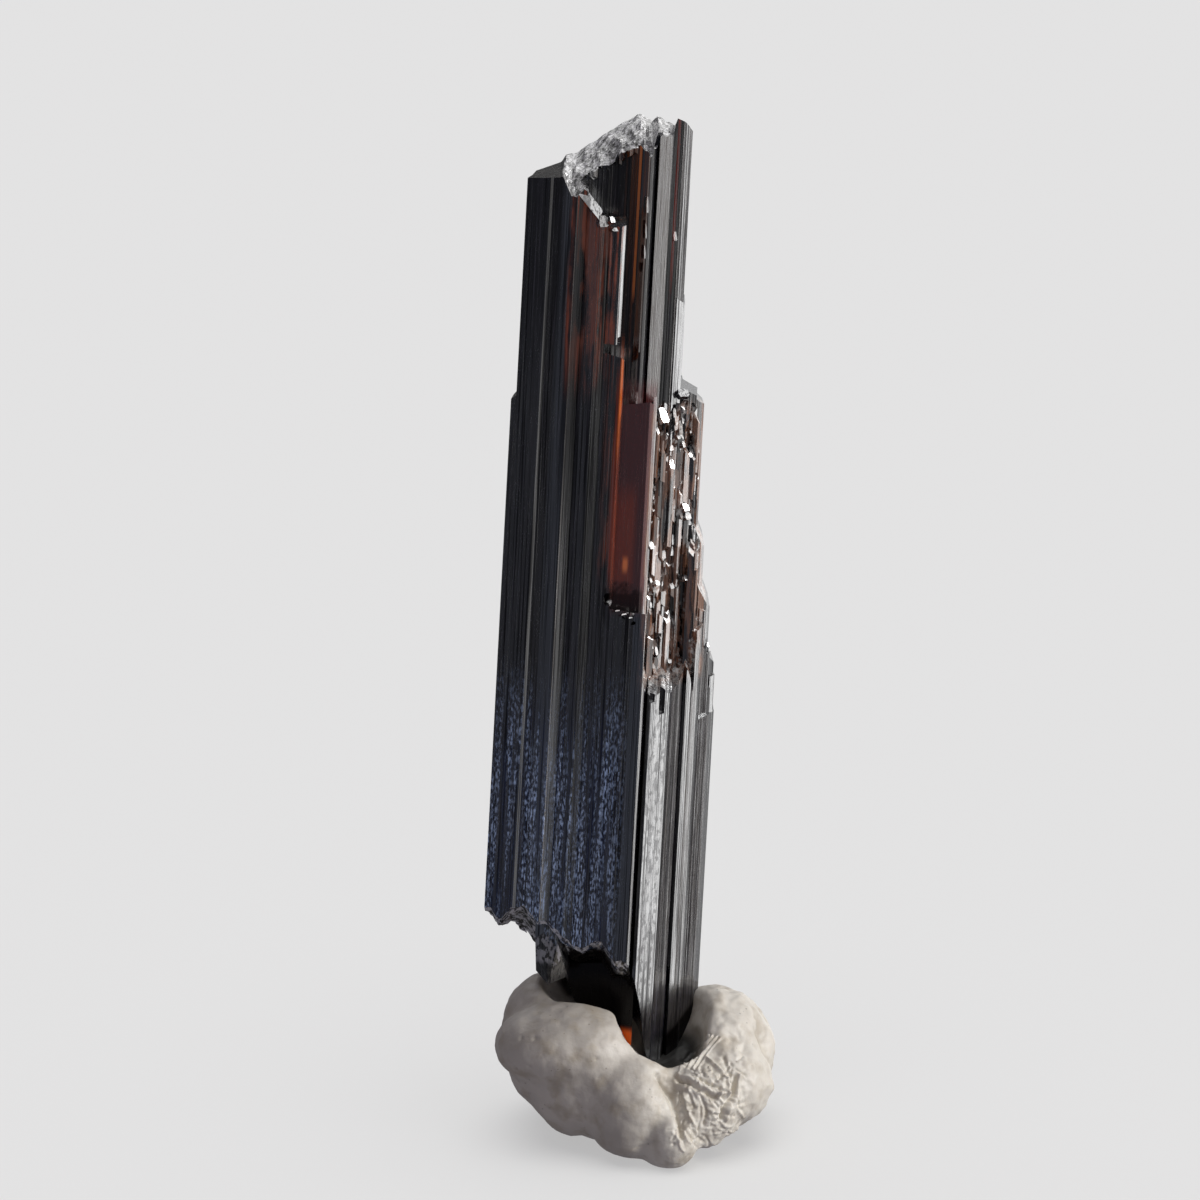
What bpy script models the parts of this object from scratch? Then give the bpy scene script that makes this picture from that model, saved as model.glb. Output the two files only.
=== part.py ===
"""A dark rutile crystal that stands in a lump of mounting putty.

The crystal is one long, striated prism, built of parallel bars that end at different heights.
It is broken off rough at the top, and slantwise at the lower left, and leans a little to the right.
The putty is pressed round the crystal's foot and rests on its flattened underside.

The frame: metres, +Z up, the front towards -Y, and the origin on the surface that the putty
rests on, at the middle of the flattened underside.
The crystal is drawn upright in millimetres of its own: u runs to the right, v to the back and
w up along the crystal, from its foot.
"""

import math
import random

import bmesh
import bpy
from mathutils import Matrix, Vector, noise

MM = 0.001

# The crystal, in millimetres: its length, how it stands, and how much wider it is at the foot
CRYSTAL_HEIGHT = 43.4
LEAN_DEG = 3.0
TAPER = 0.032
FOOT_PLACE = (-2.9, -1.9, 3.96)
FOOT_LOW, CORE_HIGH = -1.6, 44.6

# Its growth lines, the grain of its broken ends, and the needles of its rough side
STRIA_PITCH = 0.42
STRIA_DEPTH = 0.035
GRAIN_PITCH = 0.5
GRAIN_DEPTH = 0.16
NEEDLE_COUNT = 58
NEEDLE_LEFT, NEEDLE_SPREAD = 1.55, 2.05
NEEDLE_LOW, NEEDLE_TIPS = 14.0, (17.6, 30.4)
NEEDLE_WIDTHS = (0.16, 0.34)

# The putty, in millimetres
SOCKET_GAP = 0.18
SOCKET_TOP = 11.0
SOCKET_VOXELS = (0.15, 0.2)
SOCKET_SHARE = 0.16
PUTTY_VOXEL = 0.32
PUTTY_TRIANGLES = 3200
PUTTY_SMOOTHING, SMOOTHING_ROUNDS = 0.6, 9
SURFACE_BLOCK = (20.0, 20.0, 4.0)


def clear_scene():
    for item in list(bpy.data.objects):
        bpy.data.objects.remove(item)


def collection(name):
    made = bpy.data.collections.new(name)
    bpy.context.scene.collection.children.link(made)
    return made


def material(name, red, green, blue, roughness, ior):
    made = bpy.data.materials.new(name)
    made.use_nodes = True
    shader = made.node_tree.nodes["Principled BSDF"]
    shader.inputs["Base Color"].default_value = (red, green, blue, 1.0)
    shader.inputs["Metallic"].default_value = 0.0
    shader.inputs["Roughness"].default_value = roughness
    shader.inputs["IOR"].default_value = ior
    made.diffuse_color = (red, green, blue, 1.0)
    return made


def mesh_object(name, bm, where):
    mesh = bpy.data.meshes.new(name)
    bm.to_mesh(mesh)
    bm.free()
    made = bpy.data.objects.new(name, mesh)
    where.objects.link(made)
    return made


def evaluated_mesh(item):
    """The object's mesh with its modifiers applied, as a new mesh."""
    graph = bpy.context.evaluated_depsgraph_get()
    return bpy.data.meshes.new_from_object(item.evaluated_get(graph))


def freeze(item):
    """Applies every modifier of the object to its mesh."""
    mesh = evaluated_mesh(item)
    item.modifiers.clear()
    item.data = mesh
    return item


def combine(item, other, operation):
    """Joins the other solid to the item, or cuts it away, and removes the other."""
    step = item.modifiers.new("Boolean", "BOOLEAN")
    step.operation = operation
    step.solver = "EXACT"
    step.object = other
    freeze(item)
    bpy.data.objects.remove(other)
    return item


def keep_largest_shell(item):
    """Fills the closed pockets that bars leave between them, and drops loose crumbs."""
    bm = bmesh.new()
    bm.from_mesh(item.data)
    shells = []
    unseen = set(bm.faces)
    while unseen:
        shell = []
        waiting = [unseen.pop()]
        while waiting:
            face = waiting.pop()
            shell.append(face)
            for edge in face.edges:
                for other in edge.link_faces:
                    if other in unseen:
                        unseen.remove(other)
                        waiting.append(other)
        shells.append(shell)
    shells.sort(key=len)
    spare = [face for shell in shells[:-1] for face in shell]
    bmesh.ops.delete(bm, geom=spare, context="FACES")
    bm.to_mesh(item.data)
    bm.free()
    return item


def striated(outline, lined, rng):
    """The outline with fine growth lines on the edges whose numbers are in lined.

    Each growth line is a shallow facet: two points on the edge, one of them set inwards.
    """
    points = []
    for number, start in enumerate(outline):
        start = Vector(start)
        end = Vector(outline[(number + 1) % len(outline)])
        points.append(start)
        along = end - start
        count = int(along.length / STRIA_PITCH)
        if number not in lined or count < 2:
            continue
        inwards = Vector((-along.y, along.x)).normalized()
        for line in range(1, count):
            share = (line + rng.uniform(-0.3, 0.3)) / count
            depth = STRIA_DEPTH * rng.uniform(0.2, 1.0)
            foot = start + along * share
            points.append(foot)
            points.append(foot + along.normalized() * depth + inwards * depth)
    return points


def bar(name, where, outline, low, high, rise=(0.0, 0.0), fall=(0.0, 0.0)):
    """An upright prism on an outline of (u, v) points, counter-clockwise from above.

    Its top climbs by rise along u and v, and its underside by fall, from the first point.
    """
    bm = bmesh.new()
    floor = bm.faces.new([bm.verts.new((u, v, 0.0)) for u, v in outline])
    floor.normal_flip()
    made = bmesh.ops.extrude_face_region(bm, geom=[floor])
    upper = {part for part in made["geom"] if isinstance(part, bmesh.types.BMVert)}
    first_u, first_v = outline[0]
    for vert in bm.verts:
        slope = rise if vert in upper else fall
        height = high if vert in upper else low
        vert.co.z = height + slope[0] * (vert.co.x - first_u) + slope[1] * (vert.co.y - first_v)
    bmesh.ops.recalc_face_normals(bm, faces=bm.faces)
    return mesh_object(name, bm, where)


# Bars of the crystal: outline, the edges that carry growth lines, low, high, rise.
CORE = [
    (-4.50, 1.20), (-2.70, 1.65), (0.35, 1.50), (0.70, 1.30), (1.70, 1.90),
    (2.16, 2.15), (2.50, 2.80), (2.52, 4.50), (1.90, 5.10), (-3.05, 4.95), (-4.30, 2.60),
]
LEFT_SLIVER = [(-4.86, 0.90), (-4.40, 0.84), (-4.10, 1.70), (-4.40, 2.30), (-4.76, 1.50)]
LEFT_PLATE = [(-4.64, 0.86), (-3.62, 0.72), (-3.52, 0.79), (-3.05, 0.73), (-3.05, 1.90), (-4.35, 1.90)]
GREY_STRIPE = [(-3.06, 0.73), (-2.52, 0.52), (-1.95, 0.66), (-1.95, 1.90), (-3.06, 1.90)]
MIDDLE_PLATE = [(-1.96, 0.60), (-1.34, 0.50), (-0.88, 0.56), (-0.88, 1.90), (-1.96, 1.90)]
RIB = [(-0.90, 0.42), (-0.42, 0.36), (-0.26, 0.55), (-0.30, 1.80), (-0.90, 1.80)]
RED_COLUMN = [(-0.90, 0.48), (-0.10, 0.38), (0.04, 0.66), (0.04, 1.80), (-0.90, 1.80)]
PANEL = [(0.02, 0.80), (1.24, 0.62), (1.42, 0.90), (1.46, 1.90), (0.02, 1.90)]
LOWER_FRONT = [
    (-4.84, 0.88), (-3.62, 0.70), (-3.50, 0.78), (-2.52, 0.50), (-1.96, 0.60), (0.55, 0.28),
    (1.05, 0.24), (1.55, 0.02), (1.66, 0.06), (1.74, 0.30), (1.90, 2.60), (-4.30, 2.60), (-4.74, 1.60),
]
UPPER_GREY_BLADE = [(0.66, 1.05), (0.98, 1.16), (1.02, 1.32), (1.06, 1.90), (0.66, 1.90)]
UPPER_WIDE_BLADE = [(1.08, 1.22), (1.70, 1.64), (1.74, 2.40), (1.08, 2.40)]
UPPER_EDGE_BLADE = [(2.08, 1.96), (2.50, 2.40), (2.54, 4.40), (2.08, 4.40)]
WHITE_BLADE = [(2.20, 2.00), (2.58, 2.32), (2.60, 4.40), (2.20, 4.40)]
SHOULDER = [(2.30, 2.30), (2.74, 2.44), (2.90, 2.76), (3.34, 3.10), (3.40, 4.72), (2.30, 4.90)]
SHOULDER_SIDE = [(3.30, 3.14), (3.50, 3.26), (3.72, 3.80), (3.64, 4.66), (3.30, 4.70)]
ROUGH_BED = [(1.30, 1.60), (2.40, 2.30), (3.40, 3.00), (3.72, 3.80), (3.60, 4.70), (1.30, 4.90)]
BRIGHT_FACE = [(1.84, 0.24), (1.98, 0.12), (2.82, 0.82), (2.92, 1.10), (2.92, 3.60), (1.84, 3.60)]
BROWN_FACE = [(2.84, 0.92), (3.40, 1.56), (3.44, 1.84), (3.44, 3.80), (2.84, 3.80)]
LIGHT_FACE = [(3.42, 1.96), (3.56, 1.72), (3.94, 1.98), (4.14, 2.34), (4.14, 4.20), (3.42, 4.20)]
OUTER_FACE = [
    (4.06, 2.18), (4.66, 2.90), (4.90, 3.40), (4.86, 4.30), (4.20, 4.90), (3.60, 5.02), (3.60, 3.00),
]
INNER_CAP = [(3.50, 2.60), (3.96, 3.06), (4.06, 3.60), (3.96, 4.60), (3.40, 4.80), (3.30, 3.00)]
MIDDLE_CAP = [(3.90, 2.56), (4.34, 3.06), (4.46, 3.50), (4.36, 4.40), (3.90, 4.76), (3.60, 3.20)]
OUTER_CAP = [
    (4.00, 2.36), (4.54, 2.96), (4.78, 3.46), (4.70, 4.20), (4.10, 4.72), (3.60, 4.80), (3.60, 3.00),
]
FOOT_BACK = [(-2.90, 3.00), (3.70, 2.60), (4.20, 4.70), (3.60, 5.10), (-2.60, 5.05), (-3.30, 4.40)]
BACK_PLATE = [(-2.40, 4.60), (2.90, 4.60), (2.70, 5.42), (0.60, 5.50), (0.50, 5.38), (-2.10, 5.34)]
BACK_RIDGE = [(-1.60, 4.60), (0.20, 4.60), (0.08, 5.60), (-0.60, 5.66), (-1.50, 5.56)]
BACK_LEFT_PLATE = [(-4.62, 2.06), (-3.60, 2.40), (-2.90, 5.06), (-3.22, 5.18), (-4.48, 2.44)]
RIGHT_BACK_BLADE = [(1.50, 4.60), (2.40, 4.40), (2.44, 5.06), (1.66, 5.36)]

BARS = [
    ("left_sliver", LEFT_SLIVER, (0,), 0.0, 30.7, (0.8, 0.0)),
    ("left_plate", LEFT_PLATE, (0, 2), 0.0, 40.9, (0.0, 0.1)),
    ("grey_stripe", GREY_STRIPE, (0, 1), 0.0, 40.9, (-0.62, 0.1)),
    ("middle_plate", MIDDLE_PLATE, (0, 1), 0.0, 39.85, (-1.0, 0.1)),
    ("rib", RIB, (), 33.5, 38.75, (0.1, 0.2)),
    ("red_column", RED_COLUMN, (0,), 0.0, 33.1, (-0.3, -0.5)),
    ("panel", PANEL, (0,), 0.0, 30.7, (0.1, -0.6)),
    ("lower_front", LOWER_FRONT, (0, 2, 3, 4, 5), 0.0, 21.5, (-0.12, -0.35)),
    ("upper_grey_blade", UPPER_GREY_BLADE, (), 20.0, 42.1, (0.3, 0.2)),
    ("upper_wide_blade", UPPER_WIDE_BLADE, (0,), 20.0, 42.9, (0.2, 0.1)),
    ("upper_edge_blade", UPPER_EDGE_BLADE, (0,), 20.0, 43.0, (-1.2, 0.1)),
    ("white_blade", WHITE_BLADE, (), 20.0, 35.4, (-0.8, 0.0)),
    ("shoulder", SHOULDER, (0, 2), 18.0, 31.35, (-0.5, 0.0)),
    ("shoulder_side", SHOULDER_SIDE, (0,), 18.0, 30.65, (-0.9, 0.0)),
    ("rough_bed", ROUGH_BED, (), 15.0, 30.0, (-0.4, 0.0)),
    ("bright_face", BRIGHT_FACE, (1,), FOOT_LOW, 18.0, (0.9, 0.2)),
    ("brown_face", BROWN_FACE, (0,), FOOT_LOW, 18.8, (-0.8, 0.2)),
    ("light_face", LIGHT_FACE, (1,), FOOT_LOW, 19.9, (0.6, 0.1)),
    ("inner_cap", INNER_CAP, (0,), 14.0, 24.9, (-2.4, 0.2)),
    ("middle_cap", MIDDLE_CAP, (0,), 14.0, 22.0, (-2.2, 0.2)),
    ("outer_cap", OUTER_CAP, (0,), 0.0, 19.6, (-1.6, 0.0)),
    ("outer_face", OUTER_FACE, (0, 1), FOOT_LOW, 15.9, (0.1, 0.1)),
    ("foot_back", FOOT_BACK, (0,), FOOT_LOW, 17.0, (0.2, -0.8)),
    ("back_plate", BACK_PLATE, (1, 2), 3.5, 33.4, (-0.5, 0.4)),
    ("back_ridge", BACK_RIDGE, (2,), 8.0, 38.6, (-0.9, 0.3)),
    ("back_left_plate", BACK_LEFT_PLATE, (0, 2), 2.0, 36.2, (0.9, 0.2)),
    ("right_back_blade", RIGHT_BACK_BLADE, (1,), 14.0, 37.4, (-1.0, 0.0)),
]

# How far a slab that cuts a broken end reaches: to each side, to the front and to the back.
SLAB_REACH = (6.0, -0.8, 6.4)
LOWER_SLAB, UPPER_SLAB = 14.0, 8.0
# The broken lower edge of the front face: u, its height w there, and how steeply the break
# falls away towards the back.
LOWER_BREAK = [
    (-6.00, 7.6, 0.50), (-4.77, 7.3, 0.50), (-4.10, 7.0, 0.50), (-3.70, 7.4, 0.52),
    (-3.10, 7.5, 0.55), (-2.45, 6.9, 0.60), (-1.95, 6.8, 0.65), (-1.40, 6.2, 0.70),
    (-0.90, 5.9, 0.78), (-0.30, 5.8, 0.85), (0.40, 6.0, 0.90), (0.65, 5.6, 0.95),
    (1.00, 5.1, 1.00), (1.60, 4.8, 1.00), (1.97, 4.2, 0.95), (2.20, 3.3, 0.80),
    (2.41, 2.2, 0.60), (2.52, 0.9, 0.30), (2.78, 0.1, 0.20), (3.20, -0.1, 0.05), (3.60, -0.8, 0.00),
    (6.00, -1.1, 0.00),
]
# The broken top: u and its height w, level from front to back.
UPPER_BREAK = [
    (-6.00, 40.60), (-4.55, 40.60), (-3.90, 40.75), (-3.30, 40.95), (-2.46, 41.20), (-1.41, 42.00),
    (-0.36, 42.70), (0.20, 43.10), (0.55, 42.80), (0.75, 42.35), (0.95, 42.95), (1.77, 42.90),
    (2.32, 42.50), (6.00, 39.00),
]


def read(table, u, column):
    """The table's column at u, along straight runs between its rows."""
    for low, high in zip(table, table[1:]):
        if u <= high[0]:
            share = (u - low[0]) / (high[0] - low[0])
            return low[column] + (high[column] - low[column]) * share
    return table[-1][column]


def rough(u, v, seed, depth):
    """The height of broken crystal's hackly grain at a place."""
    place = Vector((u * 1.4, v * 1.4, seed))
    return depth * (noise.noise(place) + 0.8 * noise.noise(place * 2.7))


def break_cutter(name, where, height, thick, upwards):
    """A slab whose one face is a broken surface, height(u, v), and which reaches away from it."""
    bm = bmesh.new()
    half_u, low_v, high_v = SLAB_REACH
    columns = round(2 * half_u / GRAIN_PITCH)
    rows = round((high_v - low_v) / GRAIN_PITCH)
    bmesh.ops.create_grid(bm, x_segments=columns, y_segments=rows, size=1.0)
    for vert in bm.verts:
        u = vert.co.x * half_u
        v = low_v + (vert.co.y + 1) / 2 * (high_v - low_v)
        vert.co = Vector((u, v, height(u, v)))
    bmesh.ops.triangulate(bm, faces=bm.faces)
    made = bmesh.ops.extrude_face_region(bm, geom=list(bm.faces))
    far = [part for part in made["geom"] if isinstance(part, bmesh.types.BMVert)]
    for vert in far:
        vert.co.z = vert.co.z + thick if upwards else vert.co.z - thick
    bmesh.ops.recalc_face_normals(bm, faces=bm.faces)
    return mesh_object(name, bm, where)


def lower_break_height(u, v):
    front = read(LOWER_BREAK, u, 1)
    fall = read(LOWER_BREAK, u, 2) * max(v, 0.0)
    grain = GRAIN_DEPTH if u < 2.0 else 0.05
    return front - fall + rough(u, v, 3.7, grain)


def upper_break_height(u, v):
    smooth = 0.25 if u < -3.1 or u > 0.9 else 1.0
    return read(UPPER_BREAK, u, 1) + rough(u, v, 9.1, GRAIN_DEPTH * smooth)


def needle(name, where, rng, u, v, low, high, width):
    """A thin prism with a slanted tip, one of the many that stand in the rough part of the side."""
    corners = rng.choice((4, 5, 6))
    turn = rng.uniform(0.0, math.tau)
    outline = []
    for corner in range(corners):
        angle = turn + math.tau * corner / corners
        outline.append((u + width * math.cos(angle), v + 1.15 * width * math.sin(angle)))
    rise = (rng.uniform(-1.6, 0.9), rng.uniform(-0.4, 1.6))
    return bar(name, where, outline, low, high, rise)


def rough_zone(crystal, where):
    """The stepped, needle-like growth on the right-hand side, between the upper and lower faces."""
    rng = random.Random(41)
    for number in range(NEEDLE_COUNT):
        share = rng.random()
        u = NEEDLE_LEFT + NEEDLE_SPREAD * share
        tip = rng.uniform(*NEEDLE_TIPS) - 1.2 * share
        # The growth widens downwards, so the short needles stand further out than the tall ones.
        outwards = max(0.0, 23.5 - tip) / 10.0
        v = 1.05 + 0.80 * (u - 1.30) - 0.35 * outwards + rng.uniform(0.05, 0.45)
        u += 1.5 * outwards * share
        width = rng.uniform(*NEEDLE_WIDTHS)
        stem = needle(f"needle_{number}", where, rng, u, v, NEEDLE_LOW, tip, width)
        crystal = combine(crystal, stem, "UNION")
    return crystal


# The dark block that hangs below the broken edge
CHUNK = [(-2.52, 1.10), (-1.90, 0.95), (-1.30, 1.30), (-0.95, 2.10), (-1.30, 3.20), (-2.40, 3.20)]
CHUNK_LOW, CHUNK_HIGH, CHUNK_FALL = 3.85, 8.0, (-0.9, 0.25)

PITS = [
    # The dark slots and hollows of the front: u, v, half width, half depth, low, high
    (-0.08, 0.30, 0.30, 0.55, 33.10, 33.60),
    (0.42, 0.50, 0.36, 0.60, 30.90, 32.60),
    (0.95, 0.30, 0.42, 0.46, 21.10, 21.75),
    (0.20, 0.30, 0.40, 0.46, 21.30, 21.80),
    (2.05, 0.05, 0.14, 0.30, 17.10, 19.20),
    (2.50, 0.35, 0.15, 0.42, 16.40, 18.60),
    (3.50, 1.70, 0.07, 0.30, 4.00, 17.60),
]


def pit(name, where, u, v, half_u, half_v, low, high):
    outline = [
        (u - half_u, v - half_v), (u + half_u, v - half_v),
        (u + 0.8 * half_u, v + half_v), (u - 0.8 * half_u, v + half_v),
    ]
    return bar(name, where, outline, low, high, (0.2, 0.3), (-0.2, 0.4))


def build_crystal(parts, cutters, finish):
    rng = random.Random(7)
    crystal = bar("crystal", parts, striated(CORE, (7, 8, 9), rng), FOOT_LOW, CORE_HIGH)
    for name, outline, lined, low, high, rise in BARS:
        piece = bar(name, cutters, striated(outline, lined, rng), low, high, rise)
        crystal = combine(crystal, piece, "UNION")
    crystal = rough_zone(crystal, cutters)
    for number, sizes in enumerate(PITS):
        crystal = combine(crystal, pit(f"pit_{number}", cutters, *sizes), "DIFFERENCE")
    lower = break_cutter("lower_break", cutters, lower_break_height, LOWER_SLAB, False)
    crystal = combine(crystal, lower, "DIFFERENCE")
    upper = break_cutter("upper_break", cutters, upper_break_height, UPPER_SLAB, True)
    crystal = combine(crystal, upper, "DIFFERENCE")
    chunk = bar("chunk", cutters, CHUNK, CHUNK_LOW, CHUNK_HIGH, fall=CHUNK_FALL)
    crystal = keep_largest_shell(combine(crystal, chunk, "UNION"))
    for vert in crystal.data.vertices:
        vert.co.x *= 1.0 + TAPER * (1.0 - vert.co.z / CRYSTAL_HEIGHT)
    crystal.data.transform(Matrix.Scale(MM, 4))
    crystal.location = Vector(FOOT_PLACE) * MM
    crystal.rotation_euler = (0.0, math.radians(LEAN_DEG), 0.0)
    crystal.data.materials.clear()
    crystal.data.materials.append(finish)
    return crystal


# Lumps of the putty, in millimetres of the frame: centre, half sizes and a turn about Z.
LUMPS = [
    ((-3.40, -1.50, 4.50), (3.65, 3.00, 2.20), 6.0),
    ((-4.35, 1.30, 4.40), (2.50, 2.90, 2.80), 0.0),
    ((-3.25, -1.20, 2.90), (2.95, 3.10, 2.40), 0.0),
    ((-1.40, 2.20, 3.60), (4.60, 3.20, 3.00), 0.0),
    ((3.00, 0.80, 3.55), (2.95, 3.40, 3.05), 0.0),
    ((3.30, -1.30, 2.90), (2.60, 2.60, 2.50), 0.0),
    ((0.10, -2.75, 2.00), (2.40, 3.25, 2.78), 8.0),
    ((2.20, -2.30, 2.50), (2.20, 2.60, 2.30), 0.0),
    ((-0.50, -0.20, 1.95), (5.20, 4.70, 2.80), 0.0),
    ((-1.30, -1.90, 3.00), (3.40, 2.90, 2.55), 0.0),
]
HOLLOWS = [
    ((0.60, -1.10, 6.60), (2.20, 3.20, 3.15), 0.0),
    ((-1.60, 0.50, 7.30), (3.40, 2.10, 2.30), 0.0),
    ((-1.40, 2.30, 7.60), (2.90, 2.60, 2.60), 0.0),
    ((1.55, -1.20, 5.80), (1.10, 2.20, 2.30), 0.0),
]


def ellipsoid(name, where, centre, halves, turn_deg):
    bm = bmesh.new()
    bmesh.ops.create_icosphere(bm, subdivisions=3, radius=1.0)
    turn = Matrix.Rotation(math.radians(turn_deg), 4, "Z")
    size = Matrix.Diagonal((*halves, 1.0))
    bm.transform(Matrix.Translation(centre) @ turn @ size)
    return mesh_object(name, bm, where)


def clearance_copy(crystal, where):
    """The crystal's lower part, grown all round, to press its socket into the putty."""
    bm = bmesh.new()
    bm.from_mesh(crystal.data)
    bm.transform(Matrix.Scale(1 / MM, 4) @ crystal.matrix_world)
    everything = list(bm.verts) + list(bm.edges) + list(bm.faces)
    bmesh.ops.bisect_plane(
        bm, geom=everything, plane_co=(0, 0, SOCKET_TOP), plane_no=(0, 0, 1), clear_outer=True
    )
    rim = [edge for edge in bm.edges if edge.is_boundary]
    bmesh.ops.contextual_create(bm, geom=rim)
    copy = mesh_object("socket", bm, where)
    remesh = copy.modifiers.new("Remesh", "REMESH")
    remesh.mode = "VOXEL"
    remesh.voxel_size = SOCKET_VOXELS[0]
    grow = copy.modifiers.new("Displace", "DISPLACE")
    grow.strength = SOCKET_GAP
    grow.mid_level = 0.0
    again = copy.modifiers.new("Remesh again", "REMESH")
    again.mode = "VOXEL"
    again.voxel_size = SOCKET_VOXELS[1]
    fewer = copy.modifiers.new("Decimate", "DECIMATE")
    fewer.ratio = SOCKET_SHARE
    return freeze(copy)


def build_putty(parts, cutters, crystal, finish):
    putty = ellipsoid("putty", parts, *LUMPS[0])
    for number, lump in enumerate(LUMPS[1:]):
        putty = combine(putty, ellipsoid(f"lump_{number}", cutters, *lump), "UNION")
    for number, hollow in enumerate(HOLLOWS):
        putty = combine(putty, ellipsoid(f"hollow_{number}", cutters, *hollow), "DIFFERENCE")
    remesh = putty.modifiers.new("Remesh", "REMESH")
    remesh.mode = "VOXEL"
    remesh.voxel_size = PUTTY_VOXEL
    soften = putty.modifiers.new("Smooth", "SMOOTH")
    soften.factor = PUTTY_SMOOTHING
    soften.iterations = SMOOTHING_ROUNDS
    freeze(putty)
    fewer = putty.modifiers.new("Decimate", "DECIMATE")
    fewer.ratio = PUTTY_TRIANGLES / (2 * len(putty.data.polygons))
    freeze(putty)
    bm = bmesh.new()
    bmesh.ops.create_cube(bm, size=1.0)
    drop = Matrix.Translation((0, 0, -SURFACE_BLOCK[2] / 2))
    bm.transform(drop @ Matrix.Diagonal((*SURFACE_BLOCK, 1.0)))
    putty = combine(putty, mesh_object("surface", bm, cutters), "DIFFERENCE")
    putty = combine(putty, clearance_copy(crystal, cutters), "DIFFERENCE")
    putty.data.transform(Matrix.Scale(MM, 4))
    putty.data.materials.clear()
    putty.data.materials.append(finish)
    return putty


def main():
    clear_scene()
    parts = collection("rutile_crystal_in_putty")
    cutters = collection("cutters")
    crystal = build_crystal(parts, cutters, material("rutile", 0.016, 0.012, 0.014, 0.18, 2.61))
    bpy.context.view_layer.update()
    build_putty(parts, cutters, crystal, material("putty", 0.56, 0.52, 0.46, 0.55, 1.45))


main()
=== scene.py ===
"""The looks of a dark rutile crystal that stands in a lump of mounting putty.

Shapes are drawn in millimetres and scaled to metres at the end. The crystal has a frame of its
own: u to the right, v to the back and w up along it, from its foot. The putty is drawn in the
model's frame.
"""

import math
import random

import bmesh
import bpy
import numpy as np
from mathutils import Matrix, Vector, noise
from mathutils.bvhtree import BVHTree


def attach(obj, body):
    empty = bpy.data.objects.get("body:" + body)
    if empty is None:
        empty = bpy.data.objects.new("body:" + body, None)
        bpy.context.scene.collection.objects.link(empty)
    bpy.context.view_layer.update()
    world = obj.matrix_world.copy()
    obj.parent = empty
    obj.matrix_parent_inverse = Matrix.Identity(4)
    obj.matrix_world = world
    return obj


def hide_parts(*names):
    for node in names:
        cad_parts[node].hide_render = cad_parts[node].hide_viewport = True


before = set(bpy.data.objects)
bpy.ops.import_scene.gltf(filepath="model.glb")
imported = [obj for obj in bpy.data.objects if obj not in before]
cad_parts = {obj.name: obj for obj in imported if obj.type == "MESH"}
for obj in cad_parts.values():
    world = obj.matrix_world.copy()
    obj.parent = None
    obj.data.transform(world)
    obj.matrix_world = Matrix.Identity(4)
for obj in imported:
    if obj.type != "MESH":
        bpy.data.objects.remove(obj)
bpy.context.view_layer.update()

MM = 0.001
PHOTO_SIZE = 1200
PIXEL = 0.045
LENS = 150.0
SENSOR = 36.0
VIEW_HEIGHT_DEG = 15.0
LOOK_AT = Vector((-2.25, 0.0, 25.38))

CRYSTAL_HEIGHT = 43.4
LEAN = math.radians(3.0)
TAPER = 0.032
FOOT_PLACE = Vector((-2.9, -1.9, 3.96))
FOOT_LOW, CORE_HIGH = -1.6, 44.6


def linear(code):
    """The linear colour of an sRGB hex code."""
    parts = [int(code[place:place + 2], 16) / 255 for place in (0, 2, 4)]
    toned = [part / 12.92 if part <= 0.04045 else ((part + 0.055) / 1.055) ** 2.4 for part in parts]
    return (*toned, 1.0)


def add(tree, kind, inputs=None, stops=None, **settings):
    """Adds a node with its settings; inputs are values or the sockets that feed them."""
    node = tree.nodes.new(kind)
    for name, value in settings.items():
        setattr(node, name, value)
    for socket, value in (inputs or {}).items():
        if isinstance(value, bpy.types.NodeSocket):
            tree.links.new(value, node.inputs[socket])
        else:
            node.inputs[socket].default_value = value
    if stops:
        ramp = node.color_ramp
        while len(ramp.elements) < len(stops):
            ramp.elements.new(0.5)
        for element, (place, colour) in zip(ramp.elements, stops):
            element.position = place
            element.color = colour
    return node


def in_scene(name, data):
    """A new object of the scene."""
    made = bpy.data.objects.new(name, data)
    bpy.context.scene.collection.objects.link(made)
    return made


def verts_of(made, part="geom"):
    """The vertices among what a bmesh operator made."""
    return [item for item in made[part] if isinstance(item, bmesh.types.BMVert)]


def mesh_object(name, bm):
    mesh = bpy.data.meshes.new(name)
    bm.to_mesh(mesh)
    bm.free()
    return in_scene(name, mesh)


def freeze(item):
    """Applies every modifier of the object to its mesh."""
    graph = bpy.context.evaluated_depsgraph_get()
    mesh = bpy.data.meshes.new_from_object(item.evaluated_get(graph))
    item.modifiers.clear()
    item.data = mesh
    return item


def combine(item, others, operation):
    """Joins the other solids to the item, or cuts them away, and removes them."""
    group = bpy.data.collections.new("tools")
    for other in others:
        group.objects.link(other)
    step = item.modifiers.new("Boolean", "BOOLEAN")
    step.operation = operation
    step.solver = "EXACT"
    step.operand_type = "COLLECTION"
    step.collection = group
    freeze(item)
    for other in others:
        bpy.data.objects.remove(other)
    bpy.data.collections.remove(group)
    return item


def keep_largest_shell(item):
    """Fills the closed pockets that bars leave between them, and drops loose crumbs."""
    bm = bmesh.new()
    bm.from_mesh(item.data)
    shells = []
    unseen = set(bm.faces)
    while unseen:
        shell = []
        waiting = [unseen.pop()]
        while waiting:
            face = waiting.pop()
            shell.append(face)
            for edge in face.edges:
                for other in edge.link_faces:
                    if other in unseen:
                        unseen.remove(other)
                        waiting.append(other)
        shells.append(shell)
    shells.sort(key=len)
    spare = [face for shell in shells[:-1] for face in shell]
    bmesh.ops.delete(bm, geom=spare, context="FACES")
    bm.to_mesh(item.data)
    bm.free()
    return item


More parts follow.
